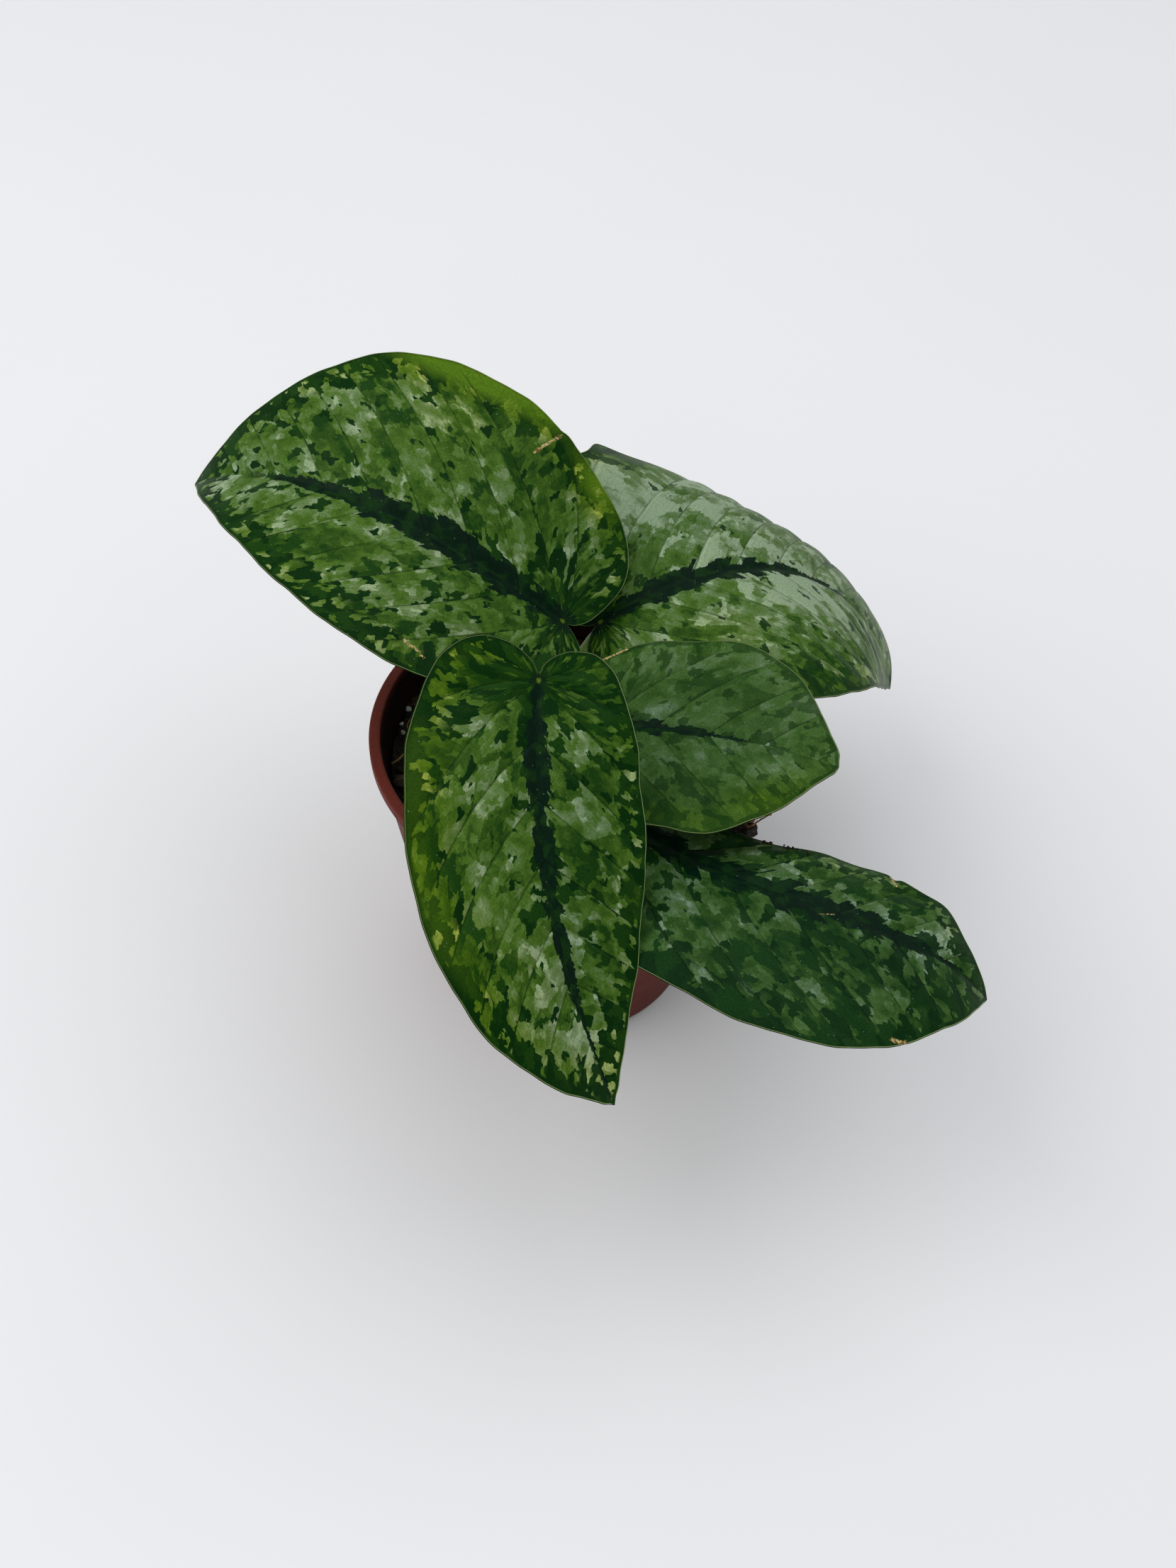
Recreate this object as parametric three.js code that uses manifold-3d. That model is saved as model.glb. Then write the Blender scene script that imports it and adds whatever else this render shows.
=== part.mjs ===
// A young climbing aroid with five patterned leaves, rooted in a small round nursery pot.
// Lengths are in millimetres and angles in degrees. The pot stands on z = 0, round the Z axis.
import * as THREE from 'three';
import { mergeVertices } from 'three/addons/utils/BufferGeometryUtils.js';
import Module from 'manifold-3d';

const wasm = await Module();
wasm.setup();

// Pot
const POT_HEIGHT = 72;
const RIM_RADIUS = 45;
const BASE_RADIUS = 31;
const WALL = 1.2;
const RIM_OVERHANG = 1.3;
const RIM_DEPTH = 3.2;
const FLOOR = 1.6;
const DRAIN_HOLES = 8;
const DRAIN_RADIUS = 3;
const DRAIN_RING = 23;
const POT_SIDES = 72;

// Soil
const GAP = 0.3;
const SOIL_EDGE_HEIGHT = 63;
const SOIL_RINGS = 11;
const SOIL_BUMP = 0.9;
const BANK = { x: 32, y: -22, height: 9.5, reach: 9 };

// Stem, from its foot in the soil to its growing tip
const STEM_PATH = [[0, 1, 44], [-1, 1, 60], [-4.5, 0.5, 71], [-6.5, 1.5, 80], [-8.5, 2.5, 89]];
const STEM_RADIUS = 2.5;
const STEM_TIP_RADIUS = 1.3;
const NODE_SWELLING = 0.5;
const NODE_COUNT = 5;

// Leaves
const BLADE_THICKNESS = 0.8;
const BLADE_ROWS = 28;
const BLADE_COLUMNS = 5;
const VEIN_SWEEP = 1.8;
const NOTCH_SHARE = 0.42;
const PETIOLE_RADIUS = 1.6;
const PETIOLE_SIDES = 10;
const MIDRIB_RADIUS = 0.55;
const MIDRIB_SHARE = 0.45;

// Each leaf. base is the notch of its blade, where the midrib starts with the heading, measured from
// +X towards +Y, and the rise above level. Towards the tip the midrib droops, turns and bows sideways,
// and the blade, rolled about it, twists. fold lifts both halves out of flat. In each half, width is
// measured from the midrib at its widest place, shoulder along it, lobe is how far the half reaches
// back behind the notch, fullness shapes the way to the tip, and curl turns the margin down.
// ripple is the height of the waves along the margin. The petiole leaves the stem at the height
// stemHeight and runs through one point to the notch.
const LEAVES = {
  leaf_back_left: {
    base: [-4, 11.1, 94.4],
    heading: 173, rise: 36.5, droop: 78.5, hook: 1.5, turn: -21.5, bow: -5.5, roll: -14.5, twist: -2.5,
    length: 97, fold: 13.5, tipFold: 12.5, ripple: 0.5, ripples: 3,
    left: { width: 32.5, shoulder: 33, lobe: 8.5, fullness: 1.6, curl: 14, tipCurl: 15 },
    right: { width: 40, shoulder: 39.5, lobe: 8.5, fullness: 2, curl: 17, tipCurl: 13 },
    stemHeight: 83, petiole: [-4, 8, 89],
  },
  leaf_back_right: {
    base: [4, 21.2, 85.5],
    heading: 25.5, rise: 31, droop: 107, hook: 0.8, turn: -40, bow: 10, roll: 12.5, twist: -12,
    length: 107, fold: 9, tipFold: 5.5, ripple: 0.5, ripples: 3,
    left: { width: 44.5, shoulder: 33.5, lobe: 9, fullness: 2.3, curl: 2, tipCurl: 101 },
    right: { width: 39.5, shoulder: 33, lobe: 8.5, fullness: 2.1, curl: 14.5, tipCurl: 16 },
    stemHeight: 73, petiole: [0, 14, 80],
  },
  leaf_front: {
    base: [-7.1, -26.2, 113.2],
    heading: -90, rise: -29, droop: 19, hook: 1.3, turn: 40, bow: 8.5, roll: -17, twist: -2,
    length: 84.5, fold: 7.5, tipFold: 7.5, ripple: 0.5, ripples: 3,
    left: { width: 22, shoulder: 28, lobe: 7, fullness: 2.2, curl: 10.5, tipCurl: 14.5 },
    right: { width: 28, shoulder: 34, lobe: 7, fullness: 2.7, curl: 11, tipCurl: 11.5 },
    stemHeight: 77, petiole: [-9, -17.5, 92],
  },
  leaf_small_right: {
    base: [5.3, -9.9, 84.9],
    heading: -9.5, rise: 14, droop: 27, hook: 1.4, turn: -0.5, bow: -1.5, roll: 9.5, twist: -1,
    length: 51.5, fold: 7.5, tipFold: 8, ripple: 0.4, ripples: 2.5,
    left: { width: 24, shoulder: 25, lobe: 6, fullness: 2.3, curl: 10, tipCurl: 14 },
    right: { width: 25.5, shoulder: 22.5, lobe: 6, fullness: 2.2, curl: 11, tipCurl: 8.5 },
    stemHeight: 69, petiole: [0, -7.5, 78.5],
  },
  leaf_low_right: {
    base: [14.1, -29.1, 76.3],
    heading: -45.5, rise: 5.5, droop: 56.5, hook: 2.8, turn: 30, bow: 21, roll: -7, twist: 4.5,
    length: 84.5, fold: 1, tipFold: 6.5, ripple: 0.5, ripples: 3,
    left: { width: 17.5, shoulder: 50.5, lobe: 7, fullness: 2.2, curl: 30, tipCurl: 19.5 },
    right: { width: 30.5, shoulder: 45.5, lobe: 8, fullness: 2.2, curl: 31, tipCurl: 27.5 },
    stemHeight: 66, petiole: [6, -19, 72.5],
  },
};

const COLOURS = { pot: 0x8a3f2c, soil: 0x17120f, stem: 0x5d7a35, leaf: 0x2c4a2a };

const radians = THREE.MathUtils.degToRad;
const lerp = THREE.MathUtils.lerp;

// Closed meshes and solids
function closedGeometry(points, faces) {
  const geometry = new THREE.BufferGeometry();
  geometry.setAttribute('position', new THREE.Float32BufferAttribute(points.flat(), 3));
  geometry.setIndex(faces.flat());
  return geometry;
}

function toSolid(geometry) {
  const bare = geometry.clone();
  bare.deleteAttribute('normal');
  bare.deleteAttribute('uv');
  const merged = mergeVertices(bare, 1e-4);
  return new wasm.Manifold(new wasm.Mesh({
    numProp: 3,
    vertProperties: new Float32Array(merged.attributes.position.array),
    triVerts: new Uint32Array(merged.index.array),
  }));
}

function toGeometry(solid) {
  const mesh = solid.getMesh();
  const geometry = new THREE.BufferGeometry();
  geometry.setAttribute('position', new THREE.BufferAttribute(mesh.vertProperties, 3));
  geometry.setIndex(new THREE.BufferAttribute(mesh.triVerts, 1));
  return geometry;
}

// A round tube along a curve, whose radius is a function of the share of its length
function taperedTube(curve, radiusAt, steps, sides) {
  const frames = curve.computeFrenetFrames(steps, false);
  const points = [];
  const faces = [];
  for (let i = 0; i <= steps; i += 1) {
    const centre = curve.getPointAt(i / steps);
    const radius = radiusAt(i / steps);
    for (let k = 0; k < sides; k += 1) {
      const angle = (2 * Math.PI * k) / sides;
      const point = centre.clone()
        .addScaledVector(frames.normals[i], radius * Math.cos(angle))
        .addScaledVector(frames.binormals[i], radius * Math.sin(angle));
      points.push(point.toArray());
    }
  }
  for (let i = 0; i < steps; i += 1) {
    for (let k = 0; k < sides; k += 1) {
      const a = i * sides + k;
      const b = i * sides + ((k + 1) % sides);
      faces.push([a, b, a + sides], [b, b + sides, a + sides]);
    }
  }
  const foot = points.length;
  points.push(curve.getPointAt(0).toArray(), curve.getPointAt(1).toArray());
  const last = steps * sides;
  for (let k = 0; k < sides; k += 1) {
    const next = (k + 1) % sides;
    faces.push([foot, next, k], [foot + 1, last + k, last + next]);
  }
  return closedGeometry(points, faces);
}

// The pot
function potRadius(height) {
  return lerp(BASE_RADIUS, RIM_RADIUS - RIM_OVERHANG, height / POT_HEIGHT);
}

function makePot() {
  const rimFoot = POT_HEIGHT - RIM_DEPTH;
  const profile = [
    [0, 0],
    [BASE_RADIUS - 1, 0],
    [BASE_RADIUS, 1],
    [potRadius(rimFoot), rimFoot],
    [RIM_RADIUS - 0.3, rimFoot + 0.6],
    [RIM_RADIUS, rimFoot + 1],
    [RIM_RADIUS, POT_HEIGHT - 0.5],
    [RIM_RADIUS - 0.5, POT_HEIGHT],
    [potRadius(POT_HEIGHT) - WALL + 0.3, POT_HEIGHT],
    [potRadius(POT_HEIGHT) - WALL, POT_HEIGHT - 0.6],
    [potRadius(FLOOR) - WALL, FLOOR],
    [0, FLOOR],
  ].map(([radius, height]) => new THREE.Vector2(radius, height));
  const lathe = new THREE.LatheGeometry(profile, POT_SIDES).rotateX(Math.PI / 2);
  let pot = toSolid(lathe);
  for (let i = 0; i < DRAIN_HOLES; i += 1) {
    const angle = (2 * Math.PI * (i + 0.5)) / DRAIN_HOLES;
    const hole = new THREE.CylinderGeometry(DRAIN_RADIUS, DRAIN_RADIUS, 3 * FLOOR, 20)
      .rotateX(Math.PI / 2)
      .translate(DRAIN_RING * Math.cos(angle), DRAIN_RING * Math.sin(angle), 0);
    pot = pot.subtract(toSolid(hole));
  }
  return toGeometry(pot);
}

// The soil: level near the wall, lumpy in the middle, and banked up at one place of the rim
function soilHeight(x, y) {
  const lumps = Math.sin(0.42 * x + 1.1) * Math.cos(0.37 * y) + 0.6 * Math.sin(0.83 * x - 0.71 * y);
  const bank = BANK.height * Math.exp(-(((x - BANK.x) ** 2 + (y - BANK.y) ** 2) / BANK.reach ** 2));
  return SOIL_EDGE_HEIGHT - 1 + SOIL_BUMP * lumps + bank;
}

function soilEdgeRadius(height) {
  return potRadius(height) - WALL - GAP;
}

function makeSoil(stemClearance) {
  const bottom = FLOOR + GAP;
  const points = [[0, 0, bottom], [0, 0, soilHeight(0, 0)]];
  const faces = [];
  const rim = 2;
  for (let k = 0; k < POT_SIDES; k += 1) {
    const angle = (2 * Math.PI * k) / POT_SIDES;
    const cos = Math.cos(angle);
    const sin = Math.sin(angle);
    const reach = soilEdgeRadius(SOIL_EDGE_HEIGHT + 2);
    const edgeHeight = Math.min(soilHeight(reach * cos, reach * sin), POT_HEIGHT - 0.6);
    const edge = soilEdgeRadius(edgeHeight);
    points.push([soilEdgeRadius(bottom) * cos, soilEdgeRadius(bottom) * sin, bottom]);
    points.push([edge * cos, edge * sin, edgeHeight]);
    for (let ring = 1; ring < SOIL_RINGS; ring += 1) {
      const radius = edge * (1 - ring / SOIL_RINGS);
      points.push([radius * cos, radius * sin, soilHeight(radius * cos, radius * sin)]);
    }
  }
  const perSide = SOIL_RINGS + 1;
  for (let k = 0; k < POT_SIDES; k += 1) {
    const a = rim + k * perSide;
    const b = rim + ((k + 1) % POT_SIDES) * perSide;
    faces.push([0, b, a]);
    for (let ring = 0; ring < SOIL_RINGS; ring += 1) {
      faces.push([a + ring, b + ring, a + ring + 1], [b + ring, b + ring + 1, a + ring + 1]);
    }
    faces.push([a + SOIL_RINGS, b + SOIL_RINGS, 1]);
  }
  return toGeometry(toSolid(closedGeometry(points, faces)).subtract(stemClearance));
}

// The stem, swollen a little at its nodes
const stemCurve = new THREE.CatmullRomCurve3(STEM_PATH.map((point) => new THREE.Vector3(...point)));

function stemTube(clearance) {
  const radiusAt = (share) => {
    const taper = lerp(STEM_RADIUS, STEM_TIP_RADIUS, share ** 3);
    const swelling = NODE_SWELLING * Math.max(0, Math.cos(2 * Math.PI * NODE_COUNT * share)) ** 4;
    return taper + swelling + clearance;
  };
  return taperedTube(stemCurve, radiusAt, 40, 12);
}

function stemPointAt(height) {
  const share = stemCurve.getSpacedPoints(200).findIndex((point) => point.z >= height) / 200;
  return stemCurve.getPointAt(share);
}

// Half of a flat blade's outline: round the lobe behind the notch, out to the widest place, and on to
// the tip. x runs along the midrib and y away from it.
class HalfMargin extends THREE.Curve {
  constructor(half, length) {
    super();
    this.half = half;
    this.length = length;
  }

  getPoint(t) {
    const { width, shoulder, lobe, fullness } = this.half;
    const notch = NOTCH_SHARE * width;
    if (t < 0.2) {
      const angle = (t / 0.2) * (Math.PI / 2);
      return new THREE.Vector3(-lobe * Math.sin(angle), notch * (1 - Math.cos(angle)), 0);
    }
    if (t < 0.5) {
      const angle = ((t - 0.2) / 0.3) * (Math.PI / 2);
      const x = lerp(-lobe, shoulder, 1 - Math.cos(angle));
      return new THREE.Vector3(x, lerp(notch, width, Math.sin(angle)), 0);
    }
    const share = (t - 0.5) / 0.5;
    return new THREE.Vector3(lerp(shoulder, this.length, share), width * (1 - share ** fullness), 0);
  }
}

// The midrib's direction and the blade's two other axes at a share of the length
function bladeAxes(leaf, share) {
  const elevation = radians(leaf.rise - leaf.droop * share ** leaf.hook);
  const heading = radians(leaf.heading + leaf.turn * share ** 2 + leaf.bow * 4 * share * (1 - share));
  const roll = radians(leaf.roll + leaf.twist * share);
  const along = new THREE.Vector3(
    Math.cos(elevation) * Math.cos(heading),
    Math.cos(elevation) * Math.sin(heading),
    Math.sin(elevation),
  );
  const level = new THREE.Vector3(-Math.sin(heading), Math.cos(heading), 0);
  const upright = new THREE.Vector3().crossVectors(along, level);
  const left = level.clone().multiplyScalar(Math.cos(roll)).addScaledVector(upright, Math.sin(roll));
  return { along, left, up: new THREE.Vector3().crossVectors(along, left) };
}

function midribPoints(leaf, steps) {
  const points = [new THREE.Vector3(...leaf.base)];
  for (let i = 1; i <= steps; i += 1) {
    const middle = bladeAxes(leaf, (i - 0.5) / steps);
    points.push(points[i - 1].clone().addScaledVector(middle.along, leaf.length / steps));
  }
  return points;
}

// The place in space of a point of the flat blade, sunk below its upper face by depth
function bladePoint(leaf, midrib, x, y, depth) {
  const share = THREE.MathUtils.clamp(x / leaf.length, 0, 1);
  const { along, left, up } = bladeAxes(leaf, share);
  const place = share * (midrib.length - 1);
  const cell = Math.min(Math.floor(place), midrib.length - 2);
  const point = midrib[cell].clone().lerp(midrib[cell + 1], place - cell);
  point.addScaledVector(along, Math.min(x, 0));
  const half = y >= 0 ? leaf.left : leaf.right;
  const away = Math.abs(y);
  const bend = radians(lerp(half.curl, half.tipCurl, share)) / half.width;
  const fold = radians(lerp(leaf.fold, leaf.tipFold, share));
  const slope = fold - bend * away;
  const outwards = (Math.sin(fold) - Math.sin(slope)) / bend;
  const wave = Math.sin(2 * Math.PI * (leaf.ripples * share + (y >= 0 ? 0 : 0.4)));
  const lift = (Math.cos(slope) - Math.cos(fold)) / bend + leaf.ripple * (away / half.width) ** 2 * wave;
  point.addScaledVector(left, Math.sign(y) * outwards).addScaledVector(up, lift);
  const tilt = away === 0 ? 0 : slope;
  point.addScaledVector(up, -depth * Math.cos(tilt));
  return point.addScaledVector(left, depth * Math.sign(y) * Math.sin(tilt));
}

// A blade: a grid of rows from the midrib forward to the margin on both halves, with the same
// triangles on its upper and lower face, closed along the margin
function makeBlade(leaf, midrib) {
  const columns = 2 * BLADE_COLUMNS;
  const margins = [leaf.right, leaf.left].map(
    (half) => new HalfMargin(half, leaf.length).getSpacedPoints(BLADE_ROWS),
  );
  const points = [];
  for (const depth of [0, BLADE_THICKNESS]) {
    points.push(bladePoint(leaf, midrib, 0, 0, depth));
    for (let i = 1; i < BLADE_ROWS; i += 1) {
      const foot = leaf.length * (i / BLADE_ROWS) ** VEIN_SWEEP;
      for (let j = -BLADE_COLUMNS; j <= BLADE_COLUMNS; j += 1) {
        const margin = margins[j < 0 ? 0 : 1][i];
        const out = Math.abs(j) / BLADE_COLUMNS;
        const x = lerp(foot, margin.x, out);
        points.push(bladePoint(leaf, midrib, x, Math.sign(j) * out * margin.y, depth));
      }
    }
    points.push(bladePoint(leaf, midrib, leaf.length, 0, depth));
  }
  const perFace = points.length / 2;
  const at = (i, j) => 1 + (i - 1) * (columns + 1) + j;
  const tip = perFace - 1;
  const upper = [];
  for (let j = 0; j < columns; j += 1) {
    upper.push([0, at(1, j), at(1, j + 1)]);
    upper.push([tip, at(BLADE_ROWS - 1, j + 1), at(BLADE_ROWS - 1, j)]);
    for (let i = 1; i < BLADE_ROWS - 1; i += 1) {
      upper.push([at(i, j), at(i + 1, j), at(i + 1, j + 1)]);
      upper.push([at(i, j), at(i + 1, j + 1), at(i, j + 1)]);
    }
  }
  const lower = upper.map(([a, b, c]) => [a + perFace, c + perFace, b + perFace]);
  const rows = Array.from({ length: BLADE_ROWS - 1 }, (_, i) => i + 1);
  const loop = [0, ...rows.map((i) => at(i, 0)), tip, ...rows.reverse().map((i) => at(i, columns))];
  const edge = loop.flatMap((a, i) => {
    const b = loop[(i + 1) % loop.length];
    return [[b, a, b + perFace], [a, a + perFace, b + perFace]];
  });
  return closedGeometry(points.map((point) => point.toArray()), [...upper, ...lower, ...edge]);
}

// The petiole, which runs on under the blade as the raised midrib
function makePetiole(leaf, midrib) {
  const start = stemPointAt(leaf.stemHeight);
  const through = new THREE.Vector3(...leaf.petiole);
  const underBlade = [0.04, 0.12, 0.22, 0.33, MIDRIB_SHARE].map((share) => {
    const depth = BLADE_THICKNESS / 2 + 0.85 * lerp(PETIOLE_RADIUS, MIDRIB_RADIUS, Math.min(1, share * 6));
    return bladePoint(leaf, midrib, share * leaf.length, 0, depth);
  });
  const curve = new THREE.CatmullRomCurve3([start, through, ...underBlade]);
  const free = start.distanceTo(through) + through.distanceTo(underBlade[0]);
  const freeShare = free / curve.getLength();
  const radiusAt = (share) => {
    if (share < freeShare) return lerp(PETIOLE_RADIUS * 1.15, PETIOLE_RADIUS, share / freeShare);
    return lerp(PETIOLE_RADIUS, MIDRIB_RADIUS, Math.min(1, (share - freeShare) / 0.12));
  };
  return taperedTube(curve, radiusAt, 30, PETIOLE_SIDES);
}

function makeLeaf(leaf, stemClearance) {
  const midrib = midribPoints(leaf, 60);
  const blade = toSolid(makeBlade(leaf, midrib));
  const petiole = toSolid(makePetiole(leaf, midrib)).subtract(stemClearance);
  return toGeometry(blade.add(petiole));
}

// The scene graph
function addMesh(group, name, geometry, colour, roughness) {
  const material = new THREE.MeshStandardMaterial({ color: colour, roughness, metalness: 0 });
  const mesh = new THREE.Mesh(geometry, material);
  mesh.name = name;
  group.add(mesh);
}

const stemFoot = new THREE.SphereGeometry(STEM_RADIUS + NODE_SWELLING + GAP, 12, 8)
  .translate(...STEM_PATH[0]);
const stemClearance = toSolid(stemTube(GAP)).add(toSolid(stemFoot));
const plant = new THREE.Group();
addMesh(plant, 'pot', makePot(), COLOURS.pot, 0.6);
addMesh(plant, 'soil', makeSoil(stemClearance), COLOURS.soil, 0.95);
addMesh(plant, 'stem', stemTube(0), COLOURS.stem, 0.5);
for (const [name, leaf] of Object.entries(LEAVES)) {
  addMesh(plant, name, makeLeaf(leaf, stemClearance), COLOURS.leaf, 0.45);
}

export default plant;
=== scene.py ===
"""The looks of a potted gunung scindapsus, a young climbing aroid with five silver-patterned leaves.

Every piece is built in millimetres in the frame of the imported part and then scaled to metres. The
pot stands on z = 0 round the Z axis, and the viewer is on the -Y side.
"""

import itertools
import math

import bmesh
import bpy
import numpy as np
from bpy.props import FloatProperty, FloatVectorProperty, IntProperty, PointerProperty
from mathutils import Matrix, Vector


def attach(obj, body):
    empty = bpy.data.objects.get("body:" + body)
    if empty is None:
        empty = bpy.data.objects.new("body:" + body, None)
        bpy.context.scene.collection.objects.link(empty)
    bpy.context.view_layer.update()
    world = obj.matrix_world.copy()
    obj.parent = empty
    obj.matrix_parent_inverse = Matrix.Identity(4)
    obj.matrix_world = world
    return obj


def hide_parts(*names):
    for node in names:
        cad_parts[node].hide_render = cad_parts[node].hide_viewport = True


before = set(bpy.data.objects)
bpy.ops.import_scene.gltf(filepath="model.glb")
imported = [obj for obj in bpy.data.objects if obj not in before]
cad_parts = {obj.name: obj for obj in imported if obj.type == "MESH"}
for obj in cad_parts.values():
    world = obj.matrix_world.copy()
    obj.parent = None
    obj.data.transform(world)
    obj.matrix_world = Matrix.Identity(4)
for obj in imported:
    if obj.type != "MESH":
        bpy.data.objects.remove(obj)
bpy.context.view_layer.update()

bl_info = {
    "name": "Potted Gunung Scindapsus",
    "version": (1, 0, 0),
    "blender": (4, 5, 0),
    "location": "3D View > Sidebar > Scindapsus",
    "description": "Builds the leaves, stem, soil and pot of a potted gunung scindapsus",
    "category": "Add Mesh",
}

MM = 0.001

# The steps of the lattice that smooth noise is drawn on, and the angle in radians up to which a
# random turn goes
NOISE_LATTICE = 32
RANDOM_TURN = 6.3

# The seeds of what lies or grows at random
SEEDS = {"crumbs": 41, "perlite": 43, "rootlets": 47, "clump": 53, "aerial roots": 61}

# The pot, in millimetres, with the angle in degrees above which an edge of it stays sharp
POT_HEIGHT = 72
RIM_RADIUS = 45
RIM_STEP = 1.3
RIM_DEPTH = 3.2
BASE_RADIUS = 31
BASE_HOLLOW = 0.35
WALL = 1.2
FLOOR = 1.6
POT_TAPER = (RIM_RADIUS - RIM_STEP - BASE_RADIUS) / POT_HEIGHT
POT_CREASE = 38
DRAIN_HOLES = 8
DRAIN_RADIUS = 3
DRAIN_RING = 23

# The soil, banked up at one place of the rim, how far from the pot's axis it goes, and the crumbs of
# the bank and the rootlets with it, and the thickness of a bark chip against its length
SOIL_LEVEL = 62
SOIL_FOOT = 1.9
SOIL_TOP = POT_HEIGHT - 0.8
SOIL_RADIUS = 42.5
BANK_RADIUS = 40.2
ROOTLET_RADIUS = 40.5
SOIL_BANK = {"x": 32, "y": -22, "height": 9.5, "reach": 9}
CHIP_FLATNESS = 0.28

# White grains (x, y, radius) and a rootlet that show at the left of the pot
SEEN_PERLITE = [
    (-38.2, 12.5, 0.8), (-39.2, 7.5, 0.65), (-38.6, 4.6, 0.55),
    (-36.6, 4.9, 0.6), (-35.4, 8.2, 0.4), (-37.4, 1.5, 0.35),
]
SEEN_ROOTLET = [
    (-40.0, -5.6, 63.4), (-38.6, -4.8, 64.0), (-37.4, -3.1, 64.1), (-36.2, -2.3, 63.8), (-34.8, -1.0, 63.2),
]

# The lumps of the clump at the front right of the rim (x, y, z, radius), and its sprout
CLUMP = [
    (36.6, -24.6, 71.0, 2.3), (38.4, -25.6, 71.9, 1.7), (35.2, -26.3, 71.4, 1.6), (37.4, -27.1, 72.2, 1.2),
    (39.4, -23.9, 71.2, 1.3), (34.3, -23.6, 71.6, 1.5), (36.9, -23.4, 73.0, 1.2), (38.0, -26.8, 73.2, 0.8),
]
SPROUT = [(37.6, -25.4, 72.5), (39.2, -24.8, 73.6), (41.0, -23.8, 74.4), (42.6, -23.2, 75.3)]

# Where crumbs lie on the lowest leaf, on its flat outline
LEAF_CRUMBS = [(17, 15.1), (25.5, 14.7), (27.5, 14.8), (31, 14.9), (33, 15.0), (35.5, 15.3)]

# The stem, from its foot in the soil to its growing tip, which rounds off from a share of its
# length, and the place where it stands in the soil, with how far crumbs stay from there
STEM_PATH = [[0, 1, 44], [-1, 1, 60], [-4.5, 0.5, 71], [-6.5, 1.5, 80], [-8.5, 2.5, 89]]
STEM_NODES = 5
STEM_RADIUS = 2.5
STEM_TIP_RADIUS = 1.3
STEM_TIP_SHARE = 0.97
STEM_PLACE = (-1.5, 1)
STEM_CLEARANCE = 5.5

# An aerial root's path: how far it is from the stem's middle, and how far it has come down
AERIAL_ROOT = [(1.4, 0), (3.1, 0.9), (3.6, 3.2), (3.3, 5.0)]

# Rows of a blade close up towards the notch by this power, each lobe reaches furthest back at this
# share of its half's width, and the rounded edge stands out by this many millimetres
ROW_POWER = 1.8
NOTCH_SHARE = 0.42
EDGE_SWELL = 0.16

# How the side veins run: the slope at which they leave the midrib, how they curve forward, and the
# distance from the notch at which the fan of veins in the lobes is as wide apart as the others
VEIN_LEAN = 0.85
VEIN_CURVE = 0.009
VEIN_FAN = 16

# A stalk's radius at the notch, that of the keel further along the blade, and the shares of the
# blade's length through which the keel runs
PETIOLE_RADIUS = 1.6
KEEL_RADIUS = 0.55
KEEL_SHARES = (0.0, 0.035, 0.08, 0.14, 0.22, 0.33, 0.45, 0.6, 0.75, 0.88)
PETIOLE_SIDES = 28

# What sets the pattern of one leaf, half of a leaf or row between two side veins apart from the next
LEAVES_APART = 25
HALVES_APART = 500
ROWS_APART = 31.7

# The sizes of the leaf pattern's parts, in millimetres along the side veins and across them, and
# the distance between its finest veins
GRAIN = (0.4, 0.45)
SPECK = (0.5, 0.5)
CHIP = (0.85, 0.55)
FLECK = (1.9, 1.5)
STREAK = (2.4, 0.6)
FLAKE = (3.6, 2.9)
DRIFT = (3.2, 4.0)
BLOT = (4.2, 3.4)
WANDER = (4.0, 4.0)
PATCH = (8.0, 6.5)
CLOUD = (9.0, 8.0)
TOOTH = (40.0, 2.5)
UNDER_GRAIN = (0.5, 0.35)
UNDER_DRIFT = (6.0, 4.0)
FINE_VEINS = 1.3

# The photograph: its size, its focal length and the middle of the pot's rim in it, in pixels, with
# the camera's distance from there and its sensor in millimetres, and its tilt and roll in degrees
PHOTO_SIZE = (1659, 2212)
PHOTO_FOCAL = 2560
PHOTO_RIM = (810, 1032)
CAMERA_DISTANCE = 400
CAMERA_TILT = 48
CAMERA_ROLL = 4
SENSOR_HEIGHT = 24

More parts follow.
